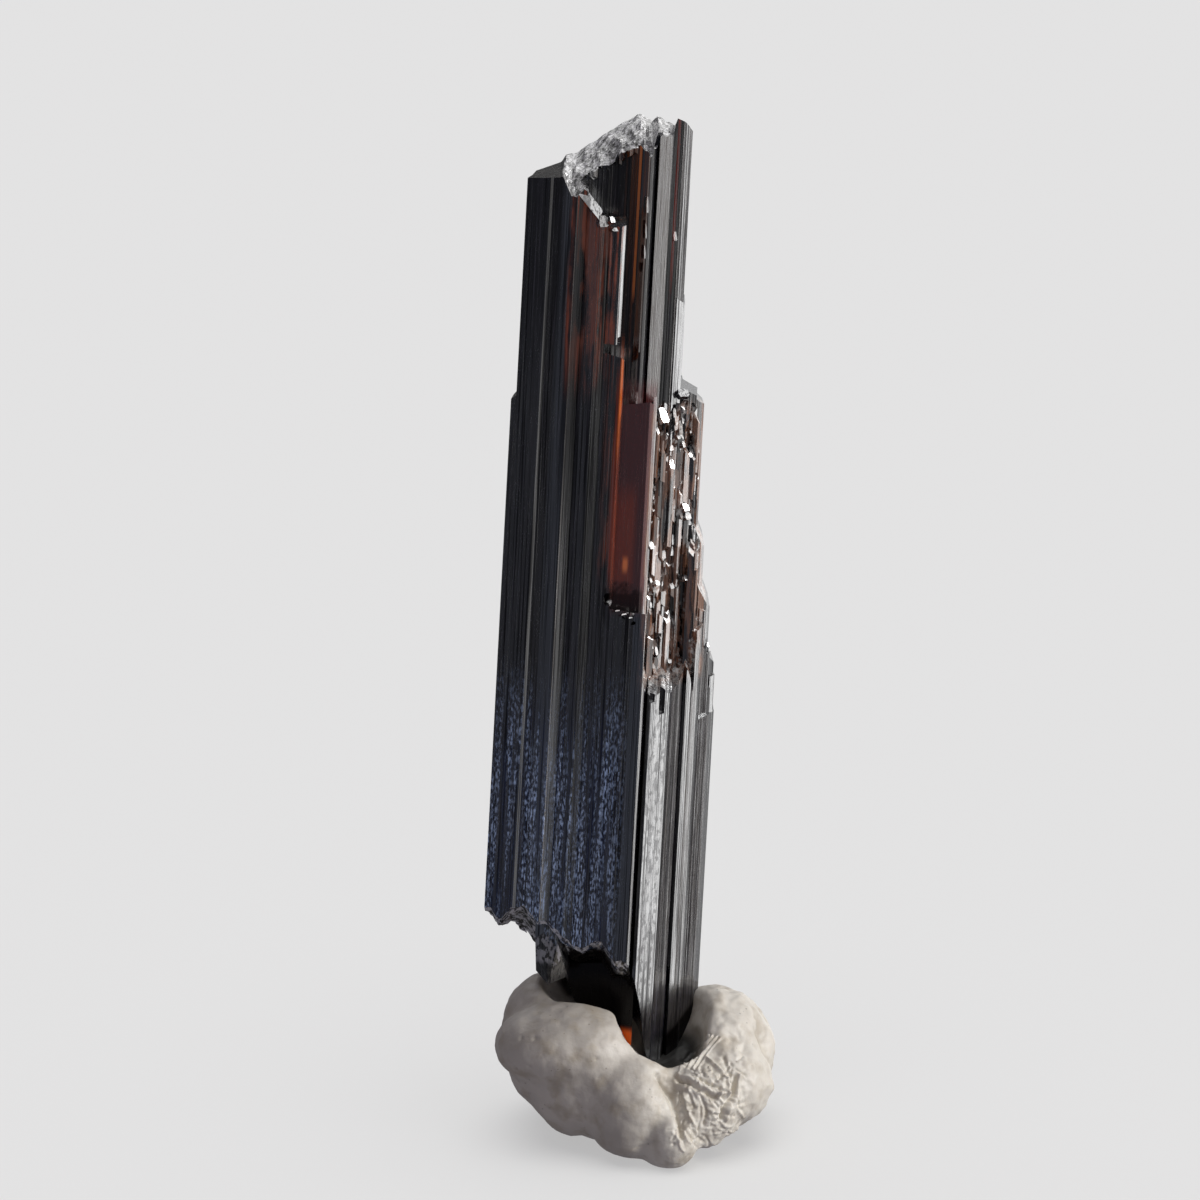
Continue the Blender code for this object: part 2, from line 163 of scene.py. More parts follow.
# Growth lines: how far apart they are, how deep, and how wide each one's steep side is.
LINE_PITCH = (0.04, 0.2)
LINE_DEPTH = 0.013
SMOOTH_DEPTH = 0.0045
LINE_STEP = 0.011


def lined(outline, edges, rng, depth=LINE_DEPTH):
    """The outline with fine growth lines on the edges whose numbers are given."""
    points = []
    for number, start in enumerate(outline):
        start = Vector(start)
        end = Vector(outline[(number + 1) % len(outline)])
        points.append(start)
        if number not in edges:
            continue
        along = end - start
        length = along.length
        along.normalize()
        inwards = Vector((-along.y, along.x))
        place = rng.uniform(*LINE_PITCH)
        while place < length - LINE_PITCH[0]:
            points.append(start + along * place + inwards * rng.uniform(0.0, depth))
            place += LINE_STEP
            points.append(start + along * place + inwards * rng.uniform(0.0, depth))
            place += rng.uniform(*LINE_PITCH)
    return points


def bar(name, outline, low, high, rise=(0.0, 0.0), fall=(0.0, 0.0)):
    """An upright prism on an outline of (u, v) points, counter-clockwise from above.

    Its top climbs by rise along u and v, and its underside by fall, from the first point.
    """
    bm = bmesh.new()
    floor = bm.faces.new([bm.verts.new((u, v, 0.0)) for u, v in outline])
    floor.normal_flip()
    made = bmesh.ops.extrude_face_region(bm, geom=[floor])
    upper = set(verts_of(made))
    first_u, first_v = outline[0]
    for vert in bm.verts:
        slope = rise if vert in upper else fall
        height = high if vert in upper else low
        vert.co.z = height + slope[0] * (vert.co.x - first_u) + slope[1] * (vert.co.y - first_v)
    bmesh.ops.recalc_face_normals(bm, faces=bm.faces)
    return mesh_object(name, bm)


CORE = [
    (-4.5, 1.2), (-2.7, 1.65), (0.35, 1.5), (0.7, 1.3), (1.66, 1.92),
    (2.14, 2.0), (2.5, 2.8), (2.52, 4.5), (1.9, 5.1), (-3.05, 4.95), (-4.3, 2.6),
]
LEFT_SLIVER = [(-4.86, 0.9), (-4.4, 0.84), (-4.1, 1.7), (-4.4, 2.3), (-4.76, 1.5)]
LEFT_PLATE = [(-4.64, 0.86), (-3.62, 0.72), (-3.5, 0.76), (-3.05, 0.73), (-3.05, 1.9), (-4.35, 1.9)]
GREY_STRIPE = [(-3.06, 0.72), (-2.42, 0.52), (-2.0, 0.64), (-1.95, 0.66), (-1.95, 1.9), (-3.06, 1.9)]
MIDDLE_PLATE = [(-1.96, 0.6), (-1.34, 0.5), (-0.88, 0.56), (-0.88, 1.9), (-1.96, 1.9)]
RIB = [(-0.9, 0.42), (-0.4, 0.36), (-0.22, 0.51), (-0.24, 1.8), (-0.9, 1.8)]
RED_COLUMN = [(-0.9, 0.48), (-0.1, 0.38), (0.04, 0.66), (0.04, 1.8), (-0.9, 1.8)]
PANEL = [(0.02, 0.8), (1.24, 0.62), (1.42, 0.9), (1.46, 1.9), (0.02, 1.9)]
PANEL_WALL = [(1.4, 0.9), (1.57, 1.01), (1.6, 1.9), (1.4, 1.9)]
LOWER_FRONT = [
    (-0.9, 0.5), (0.55, 0.28), (1.05, 0.24), (1.55, 0.02), (1.66, 0.09), (1.74, 0.3), (1.9, 2.6),
    (-0.9, 2.6),
]
UPPER_GREY_BLADE = [(0.62, 1.05), (0.92, 1.13), (0.97, 1.32), (1.0, 1.9), (0.62, 1.9)]
UPPER_WIDE_BLADE = [(1.07, 1.22), (1.64, 1.54), (1.68, 2.4), (1.07, 2.4)]
UPPER_EDGE_BLADE = [(2.1, 1.94), (2.5, 2.36), (2.54, 4.4), (2.08, 4.4)]
WHITE_BLADE = [(2.2, 2.0), (2.58, 2.32), (2.6, 4.4), (2.2, 4.4)]
SHOULDER = [(2.3, 2.3), (2.74, 2.32), (2.9, 2.76), (3.34, 2.92), (3.4, 4.72), (2.3, 4.9)]
SHOULDER_SIDE = [(3.3, 3.14), (3.5, 3.26), (3.72, 3.8), (3.64, 4.66), (3.3, 4.7)]
ROUGH_BED = [(1.3, 1.6), (2.4, 2.3), (3.4, 3.0), (3.72, 3.8), (3.6, 4.7), (1.3, 4.9)]
BRIGHT_FACE = [(1.84, 0.24), (1.98, 0.12), (2.82, 0.82), (2.92, 1.1), (2.92, 3.6), (1.84, 3.6)]
BROWN_FACE = [(2.84, 0.92), (3.37, 1.6), (3.44, 1.86), (3.44, 3.8), (2.84, 3.8)]
LIGHT_FACE = [(3.42, 1.96), (3.56, 1.72), (4.06, 2.06), (4.18, 2.34), (4.18, 4.2), (3.42, 4.2)]
OUTER_FACE = [
    (4.06, 2.18), (4.66, 2.9), (4.9, 3.4), (4.86, 4.3), (4.2, 4.9), (3.6, 5.02), (3.6, 3.0),
]
INNER_CAP = [(3.5, 2.6), (3.96, 3.06), (4.06, 3.6), (3.96, 4.6), (3.4, 4.8), (3.3, 3.0)]
MIDDLE_CAP = [(3.9, 2.56), (4.34, 3.06), (4.46, 3.5), (4.36, 4.4), (3.9, 4.76), (3.6, 3.2)]
OUTER_CAP = [
    (4.0, 2.36), (4.54, 2.96), (4.78, 3.46), (4.7, 4.2), (4.1, 4.72), (3.6, 4.8), (3.6, 3.0),
]
FOOT_BACK = [(-2.9, 3.0), (3.7, 2.6), (4.2, 4.7), (3.6, 5.1), (-2.6, 5.05), (-3.3, 4.4)]
BACK_PLATE = [(-2.4, 4.6), (2.9, 4.6), (2.7, 5.42), (0.6, 5.5), (0.5, 5.38), (-2.1, 5.34)]
BACK_RIDGE = [(-1.6, 4.6), (0.2, 4.6), (0.08, 5.6), (-0.6, 5.66), (-1.5, 5.56)]
BACK_LEFT_PLATE = [(-4.62, 2.06), (-3.6, 2.4), (-2.9, 5.06), (-3.22, 5.18), (-4.48, 2.44)]
RIGHT_BACK_BLADE = [(1.5, 4.6), (2.4, 4.4), (2.44, 5.06), (1.66, 5.36)]

SMOOTH = (OUTER_FACE, LEFT_PLATE, MIDDLE_PLATE, RED_COLUMN, PANEL, LOWER_FRONT, BRIGHT_FACE)

# Bars of the crystal: outline, the edges that carry growth lines, low, high, rise.
BARS = [
    (LEFT_SLIVER, (0, 3), 0.0, 30.7, (0.8, 0.0)),
    (LEFT_PLATE, (0, 2), 0.0, 42.4, (0.0, 0.1)),
    (GREY_STRIPE, (0, 1), 0.0, 40.9, (-0.62, 0.1)),
    (MIDDLE_PLATE, (0, 1), 0.0, 39.85, (-1.0, 0.1)),
    (RIB, (0,), 33.5, 38.75, (0.1, 0.2)),
    (RED_COLUMN, (0,), 0.0, 33.1, (-0.3, -0.5)),
    (PANEL, (0,), 0.0, 30.7, (0.1, -0.6)),
    (PANEL_WALL, (), 20.0, 31.1, (0.5, -0.6)),
    (LOWER_FRONT, (0, 1, 2, 4), 0.0, 21.5, (-0.12, -0.35)),
    (UPPER_GREY_BLADE, (0,), 20.0, 42.1, (0.3, 0.2)),
    (UPPER_WIDE_BLADE, (), 20.0, 42.7, (0.9, 0.1)),
    (UPPER_EDGE_BLADE, (0, 1), 20.0, 43.6, (-0.6, 0.0)),
    (WHITE_BLADE, (1,), 20.0, 35.4, (-0.8, 0.0)),
    (SHOULDER, (0, 2), 18.0, 31.35, (-0.5, 0.0)),
    (SHOULDER_SIDE, (0, 1, 2), 18.0, 30.65, (-0.9, 0.0)),
    (ROUGH_BED, (0, 1), 15.0, 30.0, (-0.4, 0.0)),
    (BRIGHT_FACE, (1,), FOOT_LOW, 18.0, (0.9, 0.2)),
    (BROWN_FACE, (0,), FOOT_LOW, 18.8, (-0.8, 0.2)),
    (LIGHT_FACE, (1, 2), FOOT_LOW, 19.9, (0.6, 0.1)),
    (INNER_CAP, (0, 1, 2), 14.0, 24.9, (-2.4, 0.2)),
    (MIDDLE_CAP, (0, 1, 2), 14.0, 22.0, (-2.2, 0.2)),
    (OUTER_CAP, (0, 1, 2), 0.0, 19.6, (-1.6, 0.0)),
    (OUTER_FACE, (0, 1, 2, 3, 4), FOOT_LOW, 15.9, (0.1, 0.1)),
    (FOOT_BACK, (2, 3, 4), FOOT_LOW, 17.0, (0.2, -0.8)),
    (BACK_PLATE, (1, 2, 4), 3.5, 33.4, (-0.5, 0.4)),
    (BACK_RIDGE, (2, 3), 8.0, 38.6, (-0.9, 0.3)),
    (BACK_LEFT_PLATE, (3, 4), 2.0, 36.2, (0.9, 0.2)),
    (RIGHT_BACK_BLADE, (1, 2), 14.0, 37.4, (-1.0, 0.0)),
]

# The broken lower edge of the front face: u, its height w there, and how steeply the break
# falls away towards the back.
LOWER_BREAK = [
    (-6.0, 7.6, 0.5), (-4.77, 7.3, 0.5), (-4.1, 7.0, 0.5), (-3.7, 7.4, 0.52),
    (-3.1, 7.5, 0.55), (-2.45, 6.9, 0.6), (-1.95, 6.8, 0.65), (-1.4, 6.2, 0.7),
    (-0.9, 5.9, 0.78), (-0.3, 5.8, 0.85), (0.4, 6.0, 0.9), (0.65, 5.6, 0.95),
    (1.0, 5.1, 1.0), (1.6, 4.8, 1.0), (1.97, 4.2, 0.95), (2.2, 3.3, 0.8),
    (2.41, 2.2, 0.6), (2.52, 0.9, 0.3), (2.78, 0.1, 0.2), (3.2, -0.1, 0.05), (3.6, -0.8, 0.0),
    (6.0, -1.1, 0.0),
]
# The broken top: u and its height w, level from front to back.
UPPER_BREAK = [
    (-6.0, 40.6), (-4.55, 40.6), (-3.9, 40.75), (-3.3, 40.95), (-2.46, 41.2), (-1.41, 42.0),
    (-0.36, 42.7), (0.2, 43.0), (0.55, 42.85), (0.75, 42.7), (0.95, 43.0), (1.77, 42.62),
    (2.05, 42.5), (2.22, 42.42), (2.34, 42.3), (6.0, 38.2),
]
SLAB_LOW, SLAB_HIGH = (-6.0, -0.8), (6.0, 6.4)
LOWER_SLAB, UPPER_SLAB = -14.0, 8.0
GRAIN_PITCH = 0.13
GRAIN_DEPTH = 0.24
TOP_PITCH = 0.075
TOP_GRAIN = 0.3
TOP_DROP, TOP_RISE = 0.24, 0.29
# The facet at the top left: its height at the left edge, and how it climbs to the right
LEFT_EDGE, FACET_HEIGHT, FACET_CLIMB = -4.55, 40.66, 0.08
# Where the noise of each broken surface starts
LOWER_SEED, TOP_SEED, SIDE_SEED = 3.7, 9.1, 5.3


def fade(value):
    """The value, held between nought and one."""
    return min(1.0, max(0.0, value))


def read(table, u, column):
    """The table's column at u, along straight runs between its rows."""
    for low, high in zip(table, table[1:]):
        if u <= high[0]:
            share = (u - low[0]) / (high[0] - low[0])
            return low[column] + (high[column] - low[column]) * share
    return table[-1][column]


def hackle(u, v, seed, depth):
    """The height of broken crystal's angular grain at a place."""
    place = Vector((u, v, seed))
    broad = noise.noise(place * 1.1)
    facets = noise.voronoi(place * 1.9)[0][0] - 0.45
    chips = noise.voronoi(place * 4.6)[0][0] - 0.45
    return depth * (0.8 * broad + 1.2 * facets + 0.45 * chips)


def lower_break_height(u, v):
    front = read(LOWER_BREAK, u, 1)
    fall = read(LOWER_BREAK, u, 2) * max(v, 0.0)
    grain = GRAIN_DEPTH * 1.3 if u < 2.1 else 0.07
    return front - fall + hackle(u, v, LOWER_SEED, grain)


def upper_break_height(u, v):
    """The broken top. It drops to the front in the middle, and to the back at the right."""
    middle = fade((u + 3.2) / 0.5) * fade((1.0 - u) / 0.3)
    right = fade((u - 1.66) / 0.1)
    left = fade((-3.0 - u) / 0.2)
    smooth = 0.05 if u < -3.1 else 0.1 if u > 1.45 else 1.0
    drop = (TOP_DROP * middle - TOP_RISE * right) * (4.8 - v)
    smooth *= min(1.0, max(0.35, (5.0 - v) / 1.2))
    level = read(UPPER_BREAK, u, 1) - drop + hackle(u, v * 0.5, TOP_SEED, TOP_GRAIN * smooth)
    facet_level = FACET_HEIGHT + FACET_CLIMB * (u - LEFT_EDGE)
    return level + (facet_level - level) * left


def slab(name, low, high, pitch, lay, shift):
    """A slab between a surface, lay(place) over a grid from low to high, and its shifted copy."""
    bm = bmesh.new()
    columns, rows = (round((most - least) / pitch) for least, most in zip(low, high))
    bmesh.ops.create_grid(bm, x_segments=columns, y_segments=rows, size=1.0)
    for vert in bm.verts:
        across = low[0] + (vert.co.x + 1) / 2 * (high[0] - low[0])
        along = low[1] + (vert.co.y + 1) / 2 * (high[1] - low[1])
        vert.co = lay(across, along)
    bmesh.ops.triangulate(bm, faces=bm.faces)
    made = bmesh.ops.extrude_face_region(bm, geom=list(bm.faces))
    bmesh.ops.translate(bm, verts=verts_of(made), vec=shift)
    bmesh.ops.recalc_face_normals(bm, faces=bm.faces)
    return mesh_object(name, bm)


def break_cutter(name, height, shift, pitch):
    """What lies beyond a break of the crystal, whose height is given over u and v."""
    return slab(name, SLAB_LOW, SLAB_HIGH, pitch, lambda u, v: (u, v, height(u, v)), (0.0, 0.0, shift))


# The rough side: the height below which it widens to the right, and its needles
CAP_LEVEL = 23.5
NEEDLE_COUNT, CAP_NEEDLE_COUNT = 190, 60
NEEDLE_LEFT, NEEDLE_SPREAD = 1.64, 1.95
NEEDLE_TIPS = (18.2, 30.9)
NEEDLES_LOW = 17.6
# The needles of the cap at the right: how far they reach to the right, and their highest tips
CAP_LEFT, CAP_SPREAD = 3.45, 1.25
CAP_TOP, CAP_FALL = 24.3, 6.6
NEEDLE_WIDTHS = (0.045, 0.2)


def needle(name, rng, u, v, low, high, width):
    """A thin prism with slanted ends."""
    corners = rng.choice((4, 4, 5, 6))
    turn = rng.uniform(0.0, math.tau)
    outline = []
    for corner in range(corners):
        angle = turn + math.tau * corner / corners
        outline.append((u + width * math.cos(angle), v + 1.2 * width * math.sin(angle)))
    rise = (rng.uniform(-1.8, 1.0), rng.uniform(-0.4, 1.8))
    fall = (rng.uniform(-1.0, 1.0), rng.uniform(-1.5, 0.0))
    return bar(name, outline, low, high, rise, fall)


def side_surface(u, w):
    """How far back the rough side lies at a place."""
    outwards = max(0.0, CAP_LEVEL - w) / 10.0
    return 1.18 + 0.8 * (u - 1.3) - 0.35 * outwards


def rough_side_needles():
    rng = random.Random(41)
    stems = []
    for number in range(NEEDLE_COUNT):
        share = rng.random()
        tip = rng.uniform(*NEEDLE_TIPS) - 0.8 * share
        outwards = max(0.0, CAP_LEVEL - tip) / 10.0
        u = NEEDLE_LEFT + (NEEDLE_SPREAD + 1.4 * outwards) * share
        v = side_surface(u, tip) + rng.uniform(-0.1, 0.3)
        width = rng.uniform(*NEEDLE_WIDTHS)
        low = max(NEEDLES_LOW, tip - rng.uniform(0.4, 4.5))
        stems.append(needle(f"needle_{number}", rng, u, v, low, tip, width))
    for number in range(CAP_NEEDLE_COUNT):
        share = rng.random()
        u = CAP_LEFT + CAP_SPREAD * share
        tip = CAP_TOP - CAP_FALL * share + rng.uniform(-1.6, 0.3)
        v = 2.25 + 1.0 * share + rng.uniform(-0.02, 0.26)
        low = tip - rng.uniform(1.0, 6.0)
        width = rng.uniform(0.05, 0.17)
        stems.append(needle(f"cap_needle_{number}", rng, u, v, low, tip, width))
    return stems


# Broken teeth along the roof of the recess, at the front edge of the top
TOOTH_COUNT = 22


def roof_teeth():
    rng = random.Random(5)
    teeth = []
    for number in range(TOOTH_COUNT):
        u = -2.75 + 3.15 * (number + rng.uniform(0.1, 0.9)) / TOOTH_COUNT
        top = read(UPPER_BREAK, u, 1) - 0.62
        low = top - rng.uniform(0.15, 0.55)
        width = rng.uniform(0.07, 0.16)
        v = 1.62 - rng.uniform(0.0, 0.16)
        teeth.append(needle(f"tooth_{number}", rng, u, v, low, top, width))
    return teeth


def hull(name, points):
    """The convex solid round the points."""
    bm = bmesh.new()
    for point in points:
        bm.verts.new(point)
    made = bmesh.ops.convex_hull(bm, input=bm.verts)
    bmesh.ops.delete(bm, geom=verts_of(made, "geom_interior"), context="VERTS")
    bmesh.ops.recalc_face_normals(bm, faces=bm.faces)
    return mesh_object(name, bm)


def crumb(name, rng, centre, halves):
    """An angular grain: the convex solid round a few points near a sphere."""
    points = []
    for _ in range(11):
        way = Vector((rng.gauss(0, 1), rng.gauss(0, 1), rng.gauss(0, 1))).normalized()
        points.append(Vector(centre) + Vector(w * h for w, h in zip(way, halves)))
    return hull(name, points)


def direction(azimuth_deg, elevation_deg):
    """The direction at an azimuth, from the front to the right, and an elevation."""
    azimuth, elevation = math.radians(azimuth_deg), math.radians(elevation_deg)
    level = math.cos(elevation)
    return Vector((math.sin(azimuth) * level, -math.cos(azimuth) * level, math.sin(elevation)))


# A chip's outline, as shares of its half width and half height, and a turn that all chips share
CHIP_SHAPE = ((-1.0, -0.7), (-0.6, -1.0), (0.8, -1.0), (1.0, -0.2), (0.7, 1.0), (-0.4, 1.0), (-1.0, 0.5))
FACET_TURN, FACET_TILT = 3.0, 2.5


def facet(name, centre, size, azimuth_deg, elevation_deg, thick=0.22):
    """A chip whose broad face looks towards an azimuth and an elevation."""
    out = direction(azimuth_deg + FACET_TURN, elevation_deg + FACET_TILT)
    side = out.cross(Vector((0, 0, 1))).normalized()
    up = side.cross(out)
    wide, tall = size[0] / 2, size[1] / 2
    points = []
    for across, along in CHIP_SHAPE:
        face = Vector(centre) + side * across * wide + up * along * tall
        points.append(face)
        points.append(face - out * thick + side * across * 0.2 * wide)
    return hull(name, points)


# The bright ledge that slants down to the rib, and the grains at its lower end
LEDGE = [
    (-2.68, 0.56, 40.42), (-1.44, 0.4, 39.05), (-2.5, 0.8, 40.8), (-1.28, 0.64, 39.42),
    (-2.6, 1.6, 40.6), (-1.4, 1.6, 39.2), (-2.66, 0.9, 40.1), (-1.5, 0.9, 38.7),
]
# Facets that catch the light: place, width and height, azimuth and elevation of the face
FACETS = [
    ((-1.22, 0.42, 38.98), (0.46, 0.5), 24, 16),
    ((-0.84, 0.4, 39.08), (0.24, 0.28), 30, 30),
    ((-0.62, 0.38, 38.66), (0.5, 0.16), 30, 20),
    ((1.9, 1.42, 30.2), (0.4, 0.7), 38, 30),
    ((2.3, 1.85, 28.63), (0.26, 0.26), 34, 24),
    ((2.87, 2.25, 28.73), (0.18, 0.28), 44, 24),
    ((3.2, 2.5, 28.2), (0.16, 0.2), 41, 34),
    ((3.12, 2.2, 25.85), (0.32, 0.36), 40, 36),
    ((3.24, 2.2, 25.45), (0.3, 0.34), 32, 22),
    ((2.94, 2.1, 25.55), (0.22, 0.44), 50, 10),
    ((2.03, 1.32, 22.51), (0.22, 0.24), 33, 28),
    ((2.6, 1.55, 21.95), (0.2, 0.34), 44, 20),
    ((3.3, 2.15, 22.6), (0.22, 0.24), 40, 36),
    ((3.24, 1.95, 21.05), (0.24, 0.3), 34, 20),
    ((2.8, 1.5, 21.25), (0.46, 0.8), 38, 20),
    ((2.48, 1.28, 20.6), (0.3, 0.8), 35, 10),
    ((1.66, 1.05, 24.3), (0.24, 0.34), 32, 26),
    ((2.62, 0.62, 18.95), (0.3, 0.7), 40, 12),
    ((0.67, 1.04, 39.7), (0.14, 0.7), 31, 2),
    ((0.66, 1.05, 38.6), (0.08, 0.8), 30, 2),
    ((0.66, 1.05, 37.6), (0.1, 0.6), 31, 2),
    ((0.62, 1.1, 36.9), (0.1, 0.4), 33, 8),
    ((0.55, 1.16, 36.4), (0.1, 0.34), 31, 4),
    ((0.48, 1.22, 35.9), (0.1, 0.4), 33, 6),
    ((1.98, 1.92, 38.2), (0.2, 0.4), 30, 8),
    ((2.72, 2.2, 31.1), (0.52, 0.44), 24, 46),
    ((0.62, 0.2, 21.28), (0.34, 0.06), 36, 24),
    ((0.3, 0.23, 21.42), (0.26, 0.05), 36, 20),
    ((0.9, 0.18, 21.14), (0.2, 0.06), 32, 24),
    ((-3.55, 0.95, 7.05), (0.3, 0.2), 34, 10),
    ((-3.2, 1.0, 6.9), (0.46, 0.16), 28, 16),
    ((-2.95, 1.05, 6.62), (0.4, 0.14), 36, 4),
    ((-2.6, 1.1, 6.35), (0.34, 0.14), 30, 12),
    ((-1.1, 0.7, 5.75), (0.24, 0.12), 34, 12),
    ((-0.7, 0.62, 5.6), (0.2, 0.12), 40, 8),
    ((0.76, 0.4, 5.25), (0.12, 0.34), 36, 8),
    ((0.95, 0.36, 5.02), (0.26, 0.12), 36, 14),
    ((1.3, 0.26, 4.86), (0.24, 0.12), 36, 14),
]
# The dark block below the broken edge, as the corners of a convex solid
CHUNK = [
    (-2.6, 1.3, 7.4), (-2.53, 1.25, 5.48), (-2.42, 1.45, 3.85), (-1.86, 1.3, 3.25), (-1.84, 2.6, 3.5),
    (-1.0, 1.55, 3.6), (-0.93, 1.6, 4.0), (-1.5, 1.02, 5.3), (-1.6, 1.1, 7.4), (-2.4, 3.0, 7.4),
    (-2.4, 3.0, 4.3), (-1.1, 3.0, 4.3), (-1.1, 3.0, 7.4), (-2.1, 0.98, 5.9),
]
# The crystal behind the foot, whose broken face, painted dark as shade, shows inside the putty's notch
ROOT = [
    (1.95, 1.1, 4.6), (2.0, 1.1, -1.2), (1.5, 1.5, -1.2), (0.6, 2.0, 0.2), (-0.6, 2.2, 2.2),
    (-1.3, 2.4, 3.9), (-1.3, 3.8, 4.6), (0.2, 4.2, -0.6), (1.95, 4.4, -1.2), (1.95, 4.4, 5.4),
    (0.6, 3.0, 5.2), (0.8, 1.5, 3.8),
]
GRAIN_COUNT, SPARK_COUNT = 150, 90
SIDE_LOW, SIDE_HIGH = (1.58, 17.4), (4.6, 31.6)
SIDE_SLAB = 6.0
SIDE_PITCH = 0.075
SIDE_GRAIN = 0.3


def side_place(u, w):
    """A place of the rough side's broken surface, which comes forwards outside its ragged rim."""
    right = 3.55 if w > CAP_LEVEL else max(3.25, 3.55 - 0.12 * (CAP_LEVEL - w))
    ragged = 1.1 * noise.noise(Vector((u * 2.2, 0.0, 7.7)))
    outside = max(0.0, 1.7 - u, u - right, (19.0 + 1.6 * ragged - w) * 0.8, (w - 30.2 + ragged) * 0.8)
    stems = noise.noise(Vector((u * 3.0, w * 0.14, 3.0)))
    grain = hackle(u * 1.5, w * 0.34, SIDE_SEED, SIDE_GRAIN)
    depth = side_surface(u, w) + 0.12 + 0.4 * stems + grain
    return u, depth - 2.2 * outside, w


def grains_right(w):
    """How far to the right the rough side's grains reach at a height."""
    return 3.3 + 0.16 * max(0.0, CAP_LEVEL - w)


def extra_grains():
    """Grains and chips over the rough side, the ledge and the block under the broken edge."""
    rng = random.Random(23)
    made = [hull("ledge", LEDGE)]
    for number, (centre, size, azimuth, elevation) in enumerate(FACETS):
        made.append(facet(f"facet_{number}", centre, size, azimuth, elevation))
    for number in range(GRAIN_COUNT):
        w = rng.uniform(18.4, 30.6)
        u = rng.uniform(1.45, grains_right(w))
        size = rng.uniform(0.06, 0.2)
        halves = (size, size, size * rng.uniform(1.0, 3.0))
        v = side_surface(u, w) + rng.uniform(0.0, 0.35)
        made.append(crumb(f"grain_{number}", rng, (u, v, w), halves))
    for number in range(SPARK_COUNT):
        w = 18.6 + 11.6 * rng.random() ** 1.7
        u = rng.uniform(1.7, grains_right(w))
        wide = rng.uniform(0.07, 0.22)
        size = (wide, wide * rng.uniform(1.0, 3.5))
        place = (u, side_surface(u, w) - 0.02, w)
        made.append(facet(f"spark_{number}", place, size, rng.uniform(20, 48), rng.gauss(10, 10)))
    return made


# The ragged ledge under the panel, painted dark as shade: u, v, w and half sizes of what is chipped away
CHIPS = [
    (-0.22, 0.4, 21.9, 0.22, 0.22, 0.34), (0.08, 0.42, 21.72, 0.28, 0.26, 0.36),
    (0.42, 0.42, 21.62, 0.3, 0.26, 0.28), (0.78, 0.4, 21.52, 0.3, 0.26, 0.3),
    (1.1, 0.36, 21.4, 0.24, 0.26, 0.36), (1.34, 0.22, 21.5, 0.16, 0.26, 0.3),
    (0.6, 0.36, 21.12, 0.2, 0.16, 0.12), (1.0, 0.3, 20.9, 0.16, 0.14, 0.14),
]
PITS = [
    # The dark slots and hollows of the front: u, v, half width, half depth, low, high
    (-0.08, 0.3, 0.3, 0.55, 33.1, 33.6),
    (0.42, 0.5, 0.36, 0.6, 30.9, 32.6),
    (2.05, 0.05, 0.14, 0.3, 17.1, 19.2),
    (2.5, 0.35, 0.15, 0.42, 16.4, 18.6),
    (3.5, 1.7, 0.07, 0.3, 4.0, 17.6),
]


def pit(name, u, v, half_u, half_v, low, high):
    outline = [
        (u - half_u, v - half_v), (u + half_u, v - half_v),
        (u + 0.8 * half_u, v + half_v), (u - 0.8 * half_u, v + half_v),
    ]
    return bar(name, outline, low, high, (0.2, 0.3), (-0.2, 0.4))


def build_crystal():
    """The crystal: bars, needles and grains joined, and the breaks and pits cut away."""
    rng = random.Random(7)
    crystal = bar("crystal_skin", lined(CORE, (0, 1, 3, 7, 8, 9, 10), rng), FOOT_LOW, CORE_HIGH)
    pieces = []
    for number, (outline, edges, low, high, rise) in enumerate(BARS):
        depth = SMOOTH_DEPTH if outline in SMOOTH else LINE_DEPTH
        pieces.append(bar(f"bar_{number}", lined(outline, edges, rng, depth), low, high, rise))
    combine(crystal, pieces + roof_teeth(), "UNION")
    cutters = [pit(f"pit_{number}", *sizes) for number, sizes in enumerate(PITS)]
    for number, (u, v, w, *halves) in enumerate(CHIPS):
        cutters.append(crumb(f"chip_{number}", rng, (u, v, w), [1.15 * half for half in halves]))
    combine(crystal, cutters, "DIFFERENCE")
    side = slab("side_cutter", SIDE_LOW, SIDE_HIGH, SIDE_PITCH, side_place, (0.0, -SIDE_SLAB, 0.0))
    combine(crystal, [side], "DIFFERENCE")
    combine(crystal, rough_side_needles() + extra_grains(), "UNION")
    lower = break_cutter("lower_break", lower_break_height, LOWER_SLAB, GRAIN_PITCH)
    combine(crystal, [lower], "DIFFERENCE")
    upper = break_cutter("upper_break", upper_break_height, UPPER_SLAB, TOP_PITCH)
    combine(crystal, [upper], "DIFFERENCE")
    combine(crystal, [hull("chunk", CHUNK), hull("root", ROOT)], "UNION")
    keep_largest_shell(crystal)
    for vert in crystal.data.vertices:
        vert.co.x *= 1.0 + TAPER * (1.0 - vert.co.z / CRYSTAL_HEIGHT)
    place = Matrix.Translation(FOOT_PLACE) @ Matrix.Rotation(LEAN, 4, "Y")
    crystal.data.transform(Matrix.Scale(MM, 4) @ place)
    return crystal


